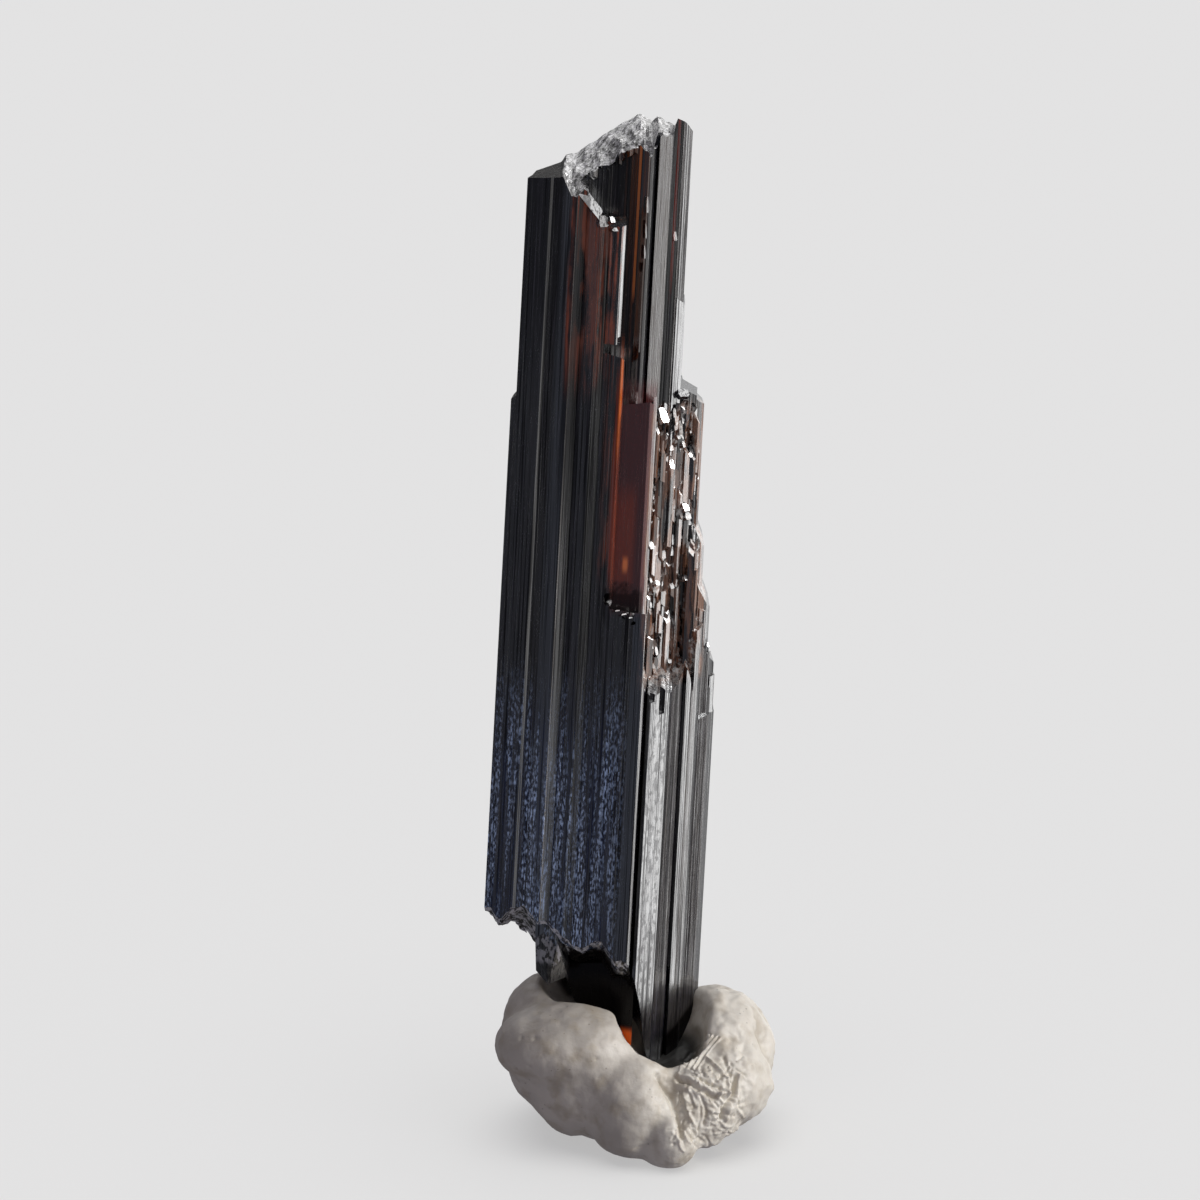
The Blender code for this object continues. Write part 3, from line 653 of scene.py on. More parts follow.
# The putty, in millimetres of the model's frame: lumps and hollows as centre, half sizes and a
# turn about Z, then the grid and the softening of its skin.
LUMPS = [
    ((-3.4, -1.5, 4.75), (3.65, 3.0, 1.95), 6.0),
    ((-4.35, 1.3, 4.4), (2.5, 2.9, 2.8), 0.0),
    ((-3.3, -1.2, 3.53), (2.5, 3.1, 3.15), 0.0),
    ((-1.4, 2.2, 3.6), (4.6, 3.2, 3.0), 0.0),
    ((3.0, 0.8, 3.55), (2.85, 3.4, 3.05), 0.0),
    ((3.3, -1.3, 2.9), (2.35, 2.6, 2.22), 0.0),
    ((-0.5, -2.6, 2.4), (2.35, 3.0, 2.6), -20.0),
    ((0.75, -3.75, 1.35), (1.55, 2.05, 1.7), 20.0),
    ((2.2, -2.3, 2.5), (2.2, 2.6, 2.3), 0.0),
    ((-0.5, 0.6, 1.95), (4.6, 3.9, 2.6), 0.0),
    ((-1.3, -1.9, 3.0), (3.4, 2.9, 2.55), 0.0),
    ((-4.4, -0.9, 3.7), (2.05, 2.4, 2.2), 0.0),
]
HOLLOWS = [
    ((0.6, -1.1, 6.6), (2.2, 3.2, 3.15), 0.0),
    ((-1.6, 0.5, 7.3), (3.4, 2.1, 2.3), 0.0),
    ((-1.4, 2.3, 7.6), (2.9, 2.6, 2.6), 0.0),
    ((1.55, -1.2, 5.8), (1.1, 2.2, 2.3), 0.0),
]
SOCKET_FLOOR = (0.9, -0.6, 4.5)
PUTTY_VOXEL = 0.11
PUTTY_SMOOTHING, SMOOTHING_ROUNDS = 0.6, 40

# Folds, ridges and dents of the putty: where they run in the camera's view, in millimetres right
# of and above the origin, then their half width and how far they stand out.
FEATURES = [
    ([(0.32, 3.18), (0.81, 2.42), (1.08, 1.7), (1.35, 0.98), (1.44, 0.35)], 0.12, -0.26),
    ([(0.7, 2.9), (1.2, 1.9), (1.5, 0.7)], 0.28, -0.16),
    ([(5.1, 5.0), (5.3, 4.5)], 0.6, -0.45),
    ([(1.3, 3.1), (1.75, 3.02), (2.3, 2.66), (3.05, 2.28)], 0.13, 0.22),
    ([(3.05, 2.28), (3.42, 2.34), (3.5, 2.62), (3.29, 3.1), (2.85, 3.6), (2.52, 3.9)], 0.09, 0.2),
    ([(1.25, 2.86), (1.75, 2.74), (2.25, 2.42), (3.0, 2.04)], 0.08, -0.18),
    ([(2.2, 2.95), (2.7, 2.72), (3.16, 2.5)], 0.07, -0.14),
    ([(2.62, 4.95), (1.95, 4.25), (1.45, 3.62)], 0.05, 0.09),
    ([(2.78, 4.9), (2.1, 4.15), (1.66, 3.55)], 0.05, 0.1),
    ([(2.98, 4.85), (2.32, 4.1), (1.92, 3.48)], 0.05, 0.1),
    ([(3.16, 4.78), (2.58, 4.1), (2.16, 3.45)], 0.05, 0.09),
    ([(2.7, 4.92), (2.02, 4.2), (1.55, 3.58)], 0.04, -0.09),
    ([(2.88, 4.88), (2.21, 4.12), (1.79, 3.51)], 0.04, -0.1),
    ([(3.07, 4.82), (2.45, 4.1), (2.04, 3.46)], 0.04, -0.09),
    ([(3.83, 3.0), (3.74, 2.24), (3.29, 1.7), (3.2, 1.16)], 0.1, -0.26),
    ([(4.0, 3.05), (3.95, 2.2), (3.5, 1.6), (3.42, 1.1)], 0.14, 0.14),
    ([(3.3, 3.9), (3.52, 3.3), (3.62, 2.8)], 0.1, -0.14),
    ([(4.19, 4.26), (4.25, 4.2)], 0.3, -0.16),
    ([(-0.59, -0.15), (0.14, 0.08)], 0.09, -0.12),
    ([(1.75, 2.3), (1.95, 1.7)], 0.08, -0.14),
    ([(2.3, 2.2), (2.55, 1.45), (2.4, 0.9)], 0.08, -0.14),
    ([(1.55, 2.1), (1.7, 1.3), (2.05, 0.8)], 0.09, 0.12),
]
PORES = [
    (-2.3, 3.05), (-2.43, 3.86), (-5.45, 3.5), (-6.03, 3.45), (-5.4, 2.33), (-5.81, 4.8),
    (-5.22, 4.8), (-2.97, 1.25), (-2.52, 1.29), (-4.55, 1.61), (1.04, 0.03), (3.74, 1.29), (4.73, 5.75),
]
PORE_WIDTH, PORE_DEPTH = 0.07, -0.1
CRINKLE_COUNT = 110
CRINKLE_BOX = (1.0, 3.9, 0.2, 3.9)
# The folded part, where the skin's grid is finer: low and high X, Y and Z
FOLDED = ((0.5, 4.4), (-9.0, -0.9), (0.2, 5.4))
FEATURE_STEP = 0.04
BROAD_SEED, FOLD_SEED = Vector((3.0, 1.0, 7.0)), Vector((9.0, 2.0, 4.0))
# The lobe on the right is lumpier, from this X on, and the skin is most crinkled round a centre.
RIGHT_LOBE, RIGHT_FADE = 1.8, 1.5
CRINKLE_CENTRE, CRINKLE_SPREAD = Vector((2.4, -3.2, 2.2)), 3.0


def ellipsoid(name, centre, halves, turn_deg):
    bm = bmesh.new()
    bmesh.ops.create_icosphere(bm, subdivisions=5, radius=1.0)
    turn = Matrix.Rotation(math.radians(turn_deg), 4, "Z")
    size = Matrix.Diagonal((*halves, 1.0))
    bm.transform(Matrix.Translation(centre) @ turn @ size)
    return mesh_object(name, bm)


def view_axes():
    """The camera's place and its backward and upward directions, in millimetres."""
    distance = PHOTO_SIZE * PIXEL * LENS / SENSOR
    tilt = math.radians(VIEW_HEIGHT_DEG)
    back = Vector((0.0, -math.cos(tilt), math.sin(tilt)))
    up = Vector((0.0, math.sin(tilt), math.cos(tilt)))
    return LOOK_AT + back * distance, back, up


def on_surface(tree, right, above):
    """Where the camera's ray through a place of the view plane meets the surface."""
    eye, back, up = view_axes()
    target = Vector((right, 0.0, 0.0)) + up * above + back * back.dot(LOOK_AT)
    ray = (target - eye).normalized()
    return tree.ray_cast(eye, ray)[0]


def feature_points(tree, path):
    """Points a small step apart on the surface, under a path of the view plane."""
    found = []
    for start, end in zip(path, path[1:]):
        start, end = Vector(start), Vector(end)
        count = max(1, round((end - start).length / FEATURE_STEP))
        for number in range(count + 1):
            place = start.lerp(end, number / count)
            point = on_surface(tree, *place)
            if point is not None:
                found.append(point)
    return np.array([tuple(point) for point in found])


def swell(places, points, width, depth):
    """How far each place moves outwards for a feature that runs through the points."""
    nearest = np.full(len(places), 1e9)
    for point in points:
        away = ((places - point) ** 2).sum(axis=1)
        nearest = np.minimum(nearest, away)
    return depth * np.exp(-nearest / width ** 2)


def crinkles():
    """Short creases and ridges of the folded part, as features."""
    rng = random.Random(17)
    made = []
    low_x, high_x, low_h, high_h = CRINKLE_BOX
    for _ in range(CRINKLE_COUNT):
        place = Vector((rng.uniform(low_x, high_x), rng.uniform(low_h, high_h)))
        heading = rng.gauss(-0.9, 0.5)
        path = [tuple(place)]
        for _ in range(rng.randint(2, 5)):
            heading += rng.gauss(0.0, 0.45)
            place = place + Vector((math.cos(heading), math.sin(heading))) * rng.uniform(0.15, 0.28)
            path.append(tuple(place))
        depth = rng.choice((-1.0, -1.0, 1.0)) * rng.uniform(0.03, 0.09)
        made.append((path, rng.uniform(0.035, 0.08), depth))
    return made


def skin_move(spot):
    """How far the kneaded skin lies outside the smooth lumps at a place."""
    broad = noise.noise(spot * 0.55 + BROAD_SEED)
    middle = noise.noise(spot * 1.7)
    fine = noise.noise(spot * 5.0)
    ripple = noise.noise(Vector((spot.x * 1.2, spot.y * 1.2, spot.z * 4.5)))
    move = 0.14 * broad + 0.05 * middle + 0.018 * fine + 0.012 * ripple
    right = fade((spot.x - RIGHT_LOBE) / RIGHT_FADE)
    move += right * (0.09 * noise.noise(spot * 1.3 + FOLD_SEED) + 0.05 * noise.noise(spot * 3.1))
    crinkle = math.exp(-(spot - CRINKLE_CENTRE).length_squared / CRINKLE_SPREAD)
    return move + 0.14 * crinkle * noise.noise(spot * 2.8) + 0.06 * crinkle * noise.noise(spot * 7.0)


def in_folds(place):
    """Whether a place lies in the putty's folded part."""
    return all(low < value < high for value, (low, high) in zip(place, FOLDED))


def build_putty():
    """The putty: lumps joined and softened, cut flat underneath, then folded and pitted."""
    putty = ellipsoid("putty_skin", *LUMPS[0])
    combine(putty, [ellipsoid(f"lump_{i}", *lump) for i, lump in enumerate(LUMPS[1:])], "UNION")
    combine(putty, [ellipsoid(f"hollow_{i}", *sizes) for i, sizes in enumerate(HOLLOWS)], "DIFFERENCE")
    remesh = putty.modifiers.new("Remesh", "REMESH")
    remesh.mode = "VOXEL"
    remesh.voxel_size = PUTTY_VOXEL
    soften = putty.modifiers.new("Smooth", "SMOOTH")
    soften.factor = PUTTY_SMOOTHING
    soften.iterations = SMOOTHING_ROUNDS
    freeze(putty)
    bm = bmesh.new()
    bm.from_mesh(putty.data)
    bmesh.ops.bisect_plane(
        bm, geom=[*bm.verts, *bm.edges, *bm.faces], plane_co=(0, 0, 0), plane_no=(0, 0, -1), clear_outer=True
    )
    folded = [edge for edge in bm.edges if all(in_folds(vert.co) for vert in edge.verts)]
    bmesh.ops.subdivide_edges(bm, edges=folded, cuts=1, use_grid_fill=True)
    tree = BVHTree.FromBMesh(bm)
    bm.normal_update()
    places = np.array([tuple(vert.co) for vert in bm.verts])
    moves = np.array([skin_move(Vector(place)) for place in places])
    for path, width, depth in FEATURES + crinkles():
        moves += swell(places, feature_points(tree, path), width, depth)
    for right, above in PORES:
        points = feature_points(tree, [(right, above), (right + 0.02, above)])
        moves += swell(places, points, PORE_WIDTH, PORE_DEPTH)
    for vert, move in zip(bm.verts, moves):
        if vert.co.z > 0.001:
            vert.co += vert.normal * move * min(1.0, vert.co.z / 0.4)
            vert.co.z = max(vert.co.z, 0.0)
    rim = [edge for edge in bm.edges if edge.is_boundary]
    bmesh.ops.holes_fill(bm, edges=rim, sides=0)
    bmesh.ops.recalc_face_normals(bm, faces=bm.faces)
    for face in bm.faces:
        face.smooth = True
    bm.to_mesh(putty.data)
    bm.free()
    putty.data.transform(Matrix.Scale(MM, 4))
    return putty


def painted(tree, colour, *coats):
    """The colour under coats, each of them where it lies and its hex code, value or socket."""
    for where, tone in coats:
        top = linear(tone) if isinstance(tone, str) else tone
        coat = add(tree, "ShaderNodeMix", {0: where, 6: colour, 7: top}, data_type="RGBA")
        colour = coat.outputs[2]
    return colour


def joined(tree, *values, operation="MULTIPLY"):
    """Several values or sockets multiplied, or taken together in another way, in their order."""
    made = values[0]
    for value in values[1:]:
        made = add(tree, "ShaderNodeMath", {0: made, 1: value}, operation=operation).outputs[0]
    return made


def window(tree, value, low, high, soft):
    """One between low and high, and nought a little outside them."""
    rise = add(tree, "ShaderNodeMapRange", {
        "Value": value, "From Min": low - soft, "From Max": low,
    }, interpolation_type="SMOOTHSTEP")
    fall = add(tree, "ShaderNodeMapRange", {
        "Value": value, "From Min": high, "From Max": high + soft, "To Min": 1.0, "To Max": 0.0,
    }, interpolation_type="SMOOTHSTEP")
    return joined(tree, rise.outputs[0], fall.outputs[0])


def streaks(tree, place, across, along, low, high, seed):
    """Noise drawn out along the crystal, as a value that goes from nought to one."""
    stretch = add(tree, "ShaderNodeVectorMath", {0: place, 1: (across, across, along)}, operation="MULTIPLY")
    shift = add(tree, "ShaderNodeVectorMath", {0: stretch.outputs[0], 1: (seed, seed, seed)}, operation="ADD")
    pattern = add(tree, "ShaderNodeTexNoise", {"Vector": shift.outputs[0], "Scale": 1.0, "Detail": 3.0})
    ranged = add(tree, "ShaderNodeMapRange", {
        "Value": pattern.outputs["Fac"], "From Min": low, "From Max": high,
    }, interpolation_type="SMOOTHSTEP")
    return ranged.outputs[0]


# Patches of the crystal: strength, then low, high and softness along u, v and w in millimetres, and
# in the upward part of the face's direction. Where a run is missing, all of it counts.
NEAR = (-2.0, 2.4, 0.3)
FRONT = (-1.0, 1.0, 0.1)
UPRIGHT = (-2.0, 0.2, 0.1)
PATCHES = {
    "upper red": (1.0, (-2.5, -0.2, 0.3), FRONT, (34.5, 41.0, 4.0), UPRIGHT),
    "lower red": (0.35, (-0.5, 0.0, 0.35), FRONT, (24.0, 33.0, 2.0), UPRIGHT),
    "recess": (1.0, (-1.2, 0.55, 0.2), (1.05, 3.0, 0.15), (33.5, 43.5, 1.0)),
    "recess right": (1.0, (-0.35, 1.0, 0.5)),
    "panel": (1.0, (0.0, 1.5, 0.1), NEAR, (21.8, 31.2, 0.8)),
    "rough": (1.0, (1.5, 4.2, 0.2), (-2.0, 3.9, 0.4), (18.5, 30.0, 0.8)),
    "thin red": (0.8, (1.86, 1.94, 0.04), NEAR, (37.0, 43.5, 2.0)),
    "strip": (1.0, (-0.2, -0.02, 0.1), NEAR, (24.0, 31.0, 2.0)),
    "line": (1.0, (-0.12, -0.03, 0.05), NEAR, (29.4, 32.4, 1.6)),
    "deep line": (1.0, (0.22, 0.3, 0.03), NEAR, (36.0, 42.0, 1.0)),
    # Painted light: the next three patches are orange glows of light through the crystal, the first on the
    # crystal at the foot.
    "foot glow": (1.0, (1.55, 2.05, 0.15), (0.9, 2.2, 0.2), (-0.3, 1.1, 0.5)),
    "glow": (0.55, (0.1, 0.7, 0.35), NEAR, (23.0, 26.0, 1.6)),
    "spot": (1.0, (0.5, 0.58, 0.14), NEAR, (23.35, 23.5, 0.45)),
    # Painted sheen: where a blue sheen is painted on the lower front.
    "sheen zone": (1.0, (-6.0, 0.2, 1.2), (-1.0, 0.95, 0.1), (-2.0, 13.0, 6.5)),
    "top break": (1.0, (-3.05, 2.0, 0.1), None, (40.3, 50.0, 0.6), (0.35, 2.0, 0.25)),
    "side break": (1.0, None, None, None, (0.22, 2.0, 0.2)),
    "lower break": (1.0, (-6.0, 1.6, 0.2), None, (4.5, 8.5, 0.4), (-2.0, -0.2, 0.15)),
    # Painted shade: the next four patches are hollows and a dark top face at the left, painted near black.
    "under": (1.0, (-0.95, 2.05, 0.2), (0.85, 4.1, 0.2), (-3.0, 5.0, 0.6)),
    "shade_beside_foot": (1.0, (3.45, 9.0, 0.1), (-2.0, 4.2, 0.3)),
    "ledge": (0.8, (-0.3, 1.36, 0.08), (0.42, 3.0, 0.05)),
    "shaded top left": (1.0, (-6.0, -3.12, 0.05), None, (40.2, 50.0, 0.2), (0.5, 2.0, 0.2)),
    "crackle": (0.5, (1.95, 2.84, 0.03), NEAR, (-2.0, 18.0, 0.5)),
    "stripe": (0.75, (-2.6, -1.9, 0.1), (-1.0, 0.9, 0.1), (30.0, 50.0, 8.0)),
    "wide": (0.8, (1.05, 1.66, 0.02), None, (31.5, 50.0, 0.5)),
    "upper left": (0.5, (-6.0, -3.0, 0.1), None, (37.0, 50.0, 8.0)),
}
# Drawn-out noise on the crystal: how much of it to a millimetre across and along, the range that
# fades in, and a seed. Real growth lines are finer than a pixel, so these are drawn coarser.
STREAKS = {
    "blotches": (2.5, 0.55, 0.36, 0.6, 21.0),
    "red": (7.0, 0.1, 0.46, 0.66, 2.0),
    "red tint": (1.6, 0.1, 0.4, 0.56, 41.0),
    "brown": (4.0, 0.05, 0.42, 0.66, 11.0),
    "rough brown": (3.2, 0.5, 0.4, 0.56, 5.0),
    "scratches": (16.0, 0.22, 0.55, 0.75, 14.0),
    "strip": (9.0, 0.15, 0.25, 0.6, 31.0),
    "specks": (13.0, 4.5, 0.42, 0.68, 8.0),
    "columns": (2.6, 0.08, 0.42, 0.58, 4.0),
    "hair": (20.0, 0.5, 0.3, 0.62, 9.0),
    "glitter grains": (5.5, 5.5, 0.42, 0.57, 3.0),
    "glitter splinters": (5.0, 3.0, 0.44, 0.56, 7.0),
    "crackle": (5.5, 2.6, 0.48, 0.6, 17.0),
    "hairlines": (15.0, 0.12, 0.48, 0.62, 27.0),
    "polish": (9.0, 0.6, 0.3, 0.75, 1.0),
    "fine": (24.0, 0.5, 0.2, 0.8, 6.0),
}
RUTILE_IOR = 2.61


def patch(tree, axes, strength, *runs):
    """The strength inside a patch, and nought a little outside it."""
    windows = [window(tree, axis, *run) for axis, run in zip(axes, runs) if run]
    return joined(tree, strength, *windows)


def material(name, origin=(0.0, 0.0, 0.0), turn=(0.0, 0.0, 0.0)):
    """A new material, its node tree and shader, and a place in millimetres from an origin."""
    made = bpy.data.materials.new(name)
    made.use_nodes = True
    tree = made.node_tree
    where = add(tree, "ShaderNodeTexCoord").outputs["Object"]
    place = add(tree, "ShaderNodeMapping", {
        "Vector": where, "Location": Vector(origin) * MM, "Rotation": turn, "Scale": (MM, MM, MM),
    }, vector_type="TEXTURE").outputs["Vector"]
    return made, tree, tree.nodes["Principled BSDF"], place


def rutile():
    """Grown and broken rutile: nearly black, glassy to metallic, red-brown where it is thin, with painted
    light and shade: light through thin places, a blue sheen, glitter on the breaks and shade in the hollows.
    """
    made, tree, shader, place = material("rutile", FOOT_PLACE, (0.0, LEAN, 0.0))
    u, v, w = add(tree, "ShaderNodeSeparateXYZ", {"Vector": place}).outputs
    normal = add(tree, "ShaderNodeNewGeometry").outputs["True Normal"]
    facing = add(tree, "ShaderNodeSeparateXYZ", {"Vector": normal}).outputs["Z"]
    on = {name: patch(tree, (u, v, w, facing), *sizes) for name, sizes in PATCHES.items()}
    drawn = {name: streaks(tree, place, *sizes) for name, sizes in STREAKS.items()}

    # Painted light: red-brown light through thin places is painted into the colour, in long streaks.
    field = joined(tree, on["upper red"], on["lower red"], operation="MAXIMUM")
    field = joined(tree, field, drawn["blotches"])
    # Painted sheen: a blue sheen on the lower front is painted into the colour, in fine specks and columns.
    sheen_haze = joined(tree, on["sheen zone"], drawn["hair"])
    blue = joined(tree, sheen_haze, drawn["specks"], drawn["columns"])
    # The breaks are rough, and the glitter of light on them is painted light grey in grains, between dark
    # cracks, as painted highlights.
    edges = add(tree, "ShaderNodeTexVoronoi", {"Vector": place, "Scale": 2.6}, feature="DISTANCE_TO_EDGE")
    cracks = add(tree, "ShaderNodeMapRange", {
        "Value": edges.outputs["Distance"], "From Max": 0.1, "To Min": 0.9, "To Max": 0.0,
    }).outputs[0]
    # Painted shade: hollows under the broken edge and at the foot, the notch over the ledge and a dark top
    # face at the left are painted near black and mirror almost nothing, as they lie in shade.
    slope = add(tree, "ShaderNodeMath", {0: u, 1: -1.06, 2: w}, operation="MULTIPLY_ADD").outputs[0]
    shade_beside_foot = joined(tree, on["shade_beside_foot"], window(tree, slope, -30.0, -3.1, 0.4))
    ragged = add(tree, "ShaderNodeTexNoise", {"Vector": place, "Scale": 2.6, "Detail": 2.0}).outputs["Fac"]
    uneven = add(tree, "ShaderNodeMath", {0: ragged, 1: 1.3, 2: w}, operation="MULTIPLY_ADD").outputs[0]
    ledge = joined(tree, on["ledge"], window(tree, uneven, 21.9, 22.7, 0.7))
    hollow = joined(tree, on["under"], shade_beside_foot, ledge, on["shaded top left"], operation="MAXIMUM")
    unlit = joined(tree, hollow, joined(tree, 1.0, on["foot glow"], operation="SUBTRACT"))
    colour = painted(
        tree, linear("08070D"),
        (drawn["scratches"], "3A383F"),
        # Painted light: these red-brown, brown and orange coats, down to the spot, stand for light through
        # the thin crystal.
        (joined(tree, field, drawn["red tint"], 0.85), "7E432D"),
        (joined(tree, field, drawn["red"]), "AA502D"),
        (joined(tree, on["recess"], on["recess right"], drawn["brown"]), "593016"),
        (on["panel"], "542B2B"),
        (joined(tree, on["rough"], drawn["rough brown"]), "7C5742"),
        (on["thin red"], "862D1F"),
        (joined(tree, on["strip"], drawn["strip"]), "8B381F"),
        (on["line"], "BF5D27"),
        (on["deep line"], "C46C2C"),
        (on["foot glow"], "F36927"),
        (on["glow"], "953C1D"),
        (on["spot"], "F98B4B"),
        # Painted sheen: a blue sheen on the lower front.
        (joined(tree, sheen_haze, 0.8), "192442"),
        (blue, "BFDAFF"),
        (on["top break"], "353230"),
        # Painted highlights: glitter of light on the breaks.
        (joined(tree, on["top break"], drawn["glitter grains"]), "CBCAC8"),
        (joined(tree, on["top break"], cracks), "191816"),
        (joined(tree, on["side break"], on["rough"], drawn["glitter grains"]), "ADA8A2"),
        (joined(tree, on["lower break"], drawn["glitter splinters"]), "BFBFC2"),
        # Painted shade: the hollows, near black.
        (unlit, "0D0A0A"),
    )
    tree.links.new(colour, shader.inputs["Base Color"])

    # The grey stripe shows on the lower half only, and fine dark lines run along every face. Reflections are
    # turned down in the hollows as painted shade, and in part over the recess, the panel and the upper left.
    plain = joined(tree, on["panel"], on["wide"], on["rough"], operation="MAXIMUM")
    ruled = joined(tree, 1.0, plain, operation="SUBTRACT")
    dark = joined(
        tree, joined(tree, on["crackle"], drawn["crackle"]), on["stripe"],
        joined(tree, drawn["hairlines"], 0.8, ruled), hollow, joined(tree, on["recess"], 0.6),
        joined(tree, on["panel"], 0.4), on["upper left"], operation="MAXIMUM",
    )
    level = add(tree, "ShaderNodeMapRange", {"Value": dark, "To Min": 0.5, "To Max": 0.03}).outputs[0]
    tree.links.new(level, shader.inputs["Specular IOR Level"])
    dull = add(tree, "ShaderNodeMapRange", {"Value": drawn["polish"], "To Min": 0.13, "To Max": 0.3})
    duller = add(tree, "ShaderNodeMath", {0: blue, 1: 0.25, 2: dull.outputs[0]}, operation="MULTIPLY_ADD")
    tree.links.new(duller.outputs[0], shader.inputs["Roughness"])
    shader.inputs["IOR"].default_value = RUTILE_IOR
    speckle = add(tree, "ShaderNodeTexNoise", {"Vector": place, "Scale": 9.0, "Detail": 2.0}).outputs["Fac"]
    height = add(tree, "ShaderNodeMath", {0: speckle, 1: 0.4, 2: drawn["fine"]}, operation="MULTIPLY_ADD")
    bump = add(tree, "ShaderNodeBump", {"Height": height.outputs[0], "Strength": 0.25, "Distance": 0.01 * MM})
    tree.links.new(bump.outputs[0], shader.inputs["Normal"])
    return made


def putty_clay():
    """Kneaded mounting putty: matt, off-white, with dirt and finger marks worked in, its right side painted
    lighter where the light falls and its socket painted near black as shade.
    """
    made, tree, shader, place = material("putty")
    broad = add(tree, "ShaderNodeTexNoise", {"Vector": place, "Scale": 0.35, "Detail": 3.0}).outputs["Fac"]
    colour = add(tree, "ShaderNodeValToRGB", {"Fac": broad}, stops=[
        (0.35, linear("A69F95")), (0.62, linear("B8B1A6")),
    ]).outputs[0]
    x = add(tree, "ShaderNodeSeparateXYZ", {"Vector": place}).outputs["X"]
    # Painted light: the right side is painted lighter, where the light falls on it.
    lit_right_side = add(tree, "ShaderNodeMapRange", {"Value": x, "From Min": -1.3, "From Max": 0.6}).outputs[0]
    dots = add(tree, "ShaderNodeTexVoronoi", {"Vector": place, "Scale": 1.6}).outputs["Distance"]
    dirt = add(tree, "ShaderNodeMapRange", {
        "Value": dots, "From Min": 0.05, "From Max": 0.09, "To Min": 0.55, "To Max": 0.0,
    }).outputs[0]
    smudge = add(tree, "ShaderNodeTexNoise", {"Vector": place, "Scale": 1.1, "Detail": 4.0}).outputs["Fac"]
    smudge = add(tree, "ShaderNodeMapRange", {
        "Value": smudge, "From Min": 0.48, "From Max": 0.68, "To Max": 0.6,
    }).outputs[0]
    # The socket's floor is in deep shade.
    hole = add(tree, "ShaderNodeVectorMath", {0: place, 1: SOCKET_FLOOR}, operation="DISTANCE")
    shade = window(tree, hole.outputs["Value"], -1.0, 1.2, 0.6)
    colour = painted(
        tree, colour, (lit_right_side, "C6C0B4"), (dirt, "6E655A"), (smudge, "978B78"), (shade, "191816"),
    )
    tree.links.new(colour, shader.inputs["Base Color"])
    shader.inputs["Roughness"].default_value = 0.5
    shader.inputs["Subsurface Weight"].default_value = 0.12
    shader.inputs["Subsurface Radius"].default_value = (1.0, 0.8, 0.6)
    shader.inputs["Subsurface Scale"].default_value = 0.4 * MM
    fine = add(tree, "ShaderNodeTexNoise", {"Vector": place, "Scale": 7.0, "Detail": 5.0}).outputs["Fac"]
    bump = add(tree, "ShaderNodeBump", {"Height": fine, "Strength": 0.5, "Distance": 0.03 * MM})
    tree.links.new(bump.outputs[0], shader.inputs["Normal"])
    return made


# The studio: what smooth faces mirror, by direction round the crystal, in degrees from the front
# towards its right, as brightness and colour.
MIRRORED = [
    (-180, 0.1, "FFFFFF"), (-150, 0.12, "FFFFFF"), (-110, 0.25, "EEF2FF"), (-70, 0.22, "DDE6FF"),
    (-45, 0.17, "DDE6FF"), (-22, 0.11, "DDE2F5"), (-6, 0.070, "E6E6F5"), (6, 0.072, "F0F0F5"),
    (16, 0.13, "FFFFFF"), (27, 0.38, "FFFFFF"), (40, 0.6, "FFFFFF"), (52, 0.68, "FFF8F2"),
    (61, 0.84, "FFF4EE"), (67, 2.0, "FFFFFF"), (72, 4.2, "FFFFFF"), (83, 4.2, "FFFFFF"),
    (88, 1.6, "FFFFFF"), (93, 1.0, "FFF6F0"), (99, 0.2, "FFF4EE"), (120, 0.34, "FFFFFF"),
    (140, 1.0, "FFFFFF"), (160, 1.6, "FFFFFF"), (172, 0.5, "FFFFFF"), (180, 0.1, "FFFFFF"),
]
MIRRORED_MOST = 4.2
SKY_LEFT, SKY_RIGHT, SKY_REAR = 0.16, 3.2, 1.7
UNDERFOOT = 0.05
AMBIENT = (0.3, 0.29, 0.335, 1.0)
BACKGROUND = 0.766


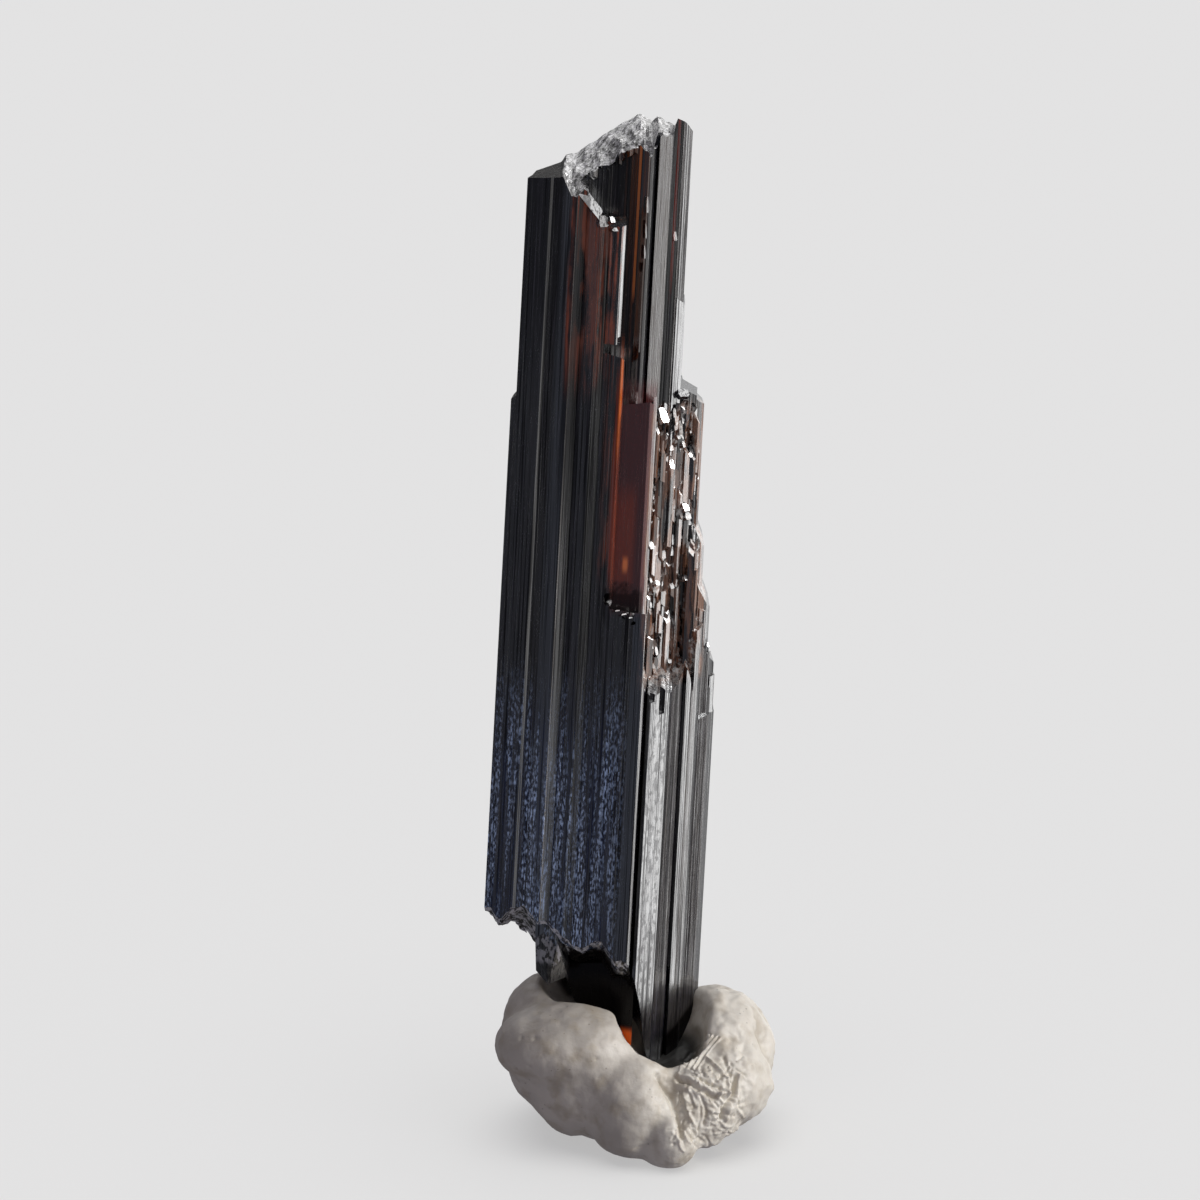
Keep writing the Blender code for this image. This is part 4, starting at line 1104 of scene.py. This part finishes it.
def make_world():
    world = bpy.data.worlds.new("studio")
    bpy.context.scene.world = world
    world.use_nodes = True
    tree = world.node_tree
    tree.nodes.clear()
    direction = add(tree, "ShaderNodeTexCoord").outputs["Generated"]
    axes = add(tree, "ShaderNodeSeparateXYZ", {"Vector": direction})
    x, y, z = axes.outputs
    front = joined(tree, y, -1.0)
    around = joined(tree, x, front, operation="ARCTAN2")
    turned = add(tree, "ShaderNodeMapRange", {
        "Value": around, "From Min": -math.pi, "From Max": math.pi,
    }).outputs[0]
    stops = []
    for degrees, brightness, tint in MIRRORED:
        share = brightness / MIRRORED_MOST
        red, green, blue, _ = linear(tint)
        stops.append(((degrees + 180) / 360, (red * share, green * share, blue * share, 1.0)))
    ring = add(tree, "ShaderNodeValToRGB", {"Fac": turned}, stops=stops).outputs[0]
    ring = add(tree, "ShaderNodeVectorMath", {0: ring, "Scale": MIRRORED_MOST}, operation="SCALE").outputs[0]
    grey = [(level, level, level, 1.0) for level in (SKY_LEFT, SKY_RIGHT, SKY_REAR, UNDERFOOT)]
    rightwards = add(tree, "ShaderNodeMapRange", {"Value": x, "From Min": -0.25, "From Max": 0.4}).outputs[0]
    rear = add(tree, "ShaderNodeMapRange", {"Value": y, "From Min": 0.3, "From Max": 0.6}).outputs[0]
    above = add(tree, "ShaderNodeMapRange", {"Value": z, "From Min": 0.28, "From Max": 0.42}).outputs[0]
    rear_right = add(tree, "ShaderNodeMapRange", {"Value": x, "From Min": -0.75, "From Max": -0.5}).outputs[0]
    rear_sky = painted(tree, grey[0], (rear_right, grey[2]))
    sky = painted(tree, grey[0], (rightwards, grey[1]), (rear, rear_sky))
    below = add(tree, "ShaderNodeMapRange", {
        "Value": z, "From Min": -0.55, "From Max": -0.36, "To Min": 1.0, "To Max": 0.0,
    }).outputs[0]
    ring = painted(tree, ring, (above, sky), (below, grey[3]))
    ray = add(tree, "ShaderNodeLightPath")
    soft = add(tree, "ShaderNodeBackground", {"Color": AMBIENT, "Strength": 1.0}).outputs[0]
    mirrored = add(tree, "ShaderNodeBackground", {"Color": ring, "Strength": 1.0}).outputs[0]
    seen = add(tree, "ShaderNodeBackground", {
        "Color": (BACKGROUND, BACKGROUND, BACKGROUND, 1.0), "Strength": 1.0,
    }).outputs[0]
    glossy = ray.outputs["Is Glossy Ray"]
    light = add(tree, "ShaderNodeMixShader", {0: glossy, 1: soft, 2: mirrored}).outputs[0]
    light = add(tree, "ShaderNodeMixShader", {0: ray.outputs["Is Camera Ray"], 1: light, 2: seen}).outputs[0]
    add(tree, "ShaderNodeOutputWorld", {"Surface": light})


def sun(name, azimuth_deg, elevation_deg, strength, angle_deg, lit):
    """A soft sun that shines on the objects of one collection only."""
    lamp = bpy.data.lights.new(name, "SUN")
    lamp.energy = strength
    lamp.angle = math.radians(angle_deg)
    made = in_scene(name, lamp)
    made.light_linking.receiver_collection = lit
    made.rotation_euler = direction(azimuth_deg, elevation_deg).to_track_quat("Z", "Y").to_euler()
    return made


def make_floor():
    bm = bmesh.new()
    bmesh.ops.create_grid(bm, x_segments=1, y_segments=1, size=3.0)
    floor = mesh_object("floor", bm)
    paper, _, shader, _ = material("paper")
    shader.inputs["Base Color"].default_value = linear("A3A3A0")
    shader.inputs["Emission Color"].default_value = linear("FFFFFF")
    shader.inputs["Emission Strength"].default_value = 0.42
    shader.inputs["Roughness"].default_value = 1.0
    shader.inputs["Specular IOR Level"].default_value = 0.0
    floor.data.materials.append(paper)
    floor.visible_glossy = False
    floor.visible_diffuse = False
    return floor


def make_camera():
    camera = bpy.data.cameras.new("camera")
    camera.lens = LENS
    camera.sensor_width = SENSOR
    camera.clip_start = 0.01
    eye, back, _ = view_axes()
    made = in_scene("camera", camera)
    made.location = eye * MM
    made.rotation_euler = back.to_track_quat("Z", "Y").to_euler()
    bpy.context.scene.camera = made
    return made


def main():
    bpy.context.scene.view_settings.view_transform = "Standard"
    make_camera()
    make_world()
    mirrors = bpy.data.collections.new("mirrors")
    clay = bpy.data.collections.new("clay")
    ground = bpy.data.collections.new("ground")
    ground.objects.link(make_floor())
    sun("key", 99.0, 35.0, 3.9, 20.0, mirrors)
    soft_key = sun("soft_key", 73.0, 20.0, 3.1, 30.0, clay)
    soft_key.light_linking.blocker_collection = mirrors
    sun("top", 0.0, 88.0, 2.05, 60.0, ground)
    crystal = build_crystal()
    crystal.data.materials.clear()
    crystal.data.materials.append(rutile())
    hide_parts("crystal")
    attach(crystal, "root")
    putty = build_putty()
    putty.data.materials.clear()
    putty.data.materials.append(putty_clay())
    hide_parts("putty")
    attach(putty, "root")
    mirrors.objects.link(crystal)
    clay.objects.link(putty)
    print("faces", len(crystal.data.polygons), len(putty.data.polygons))


main()
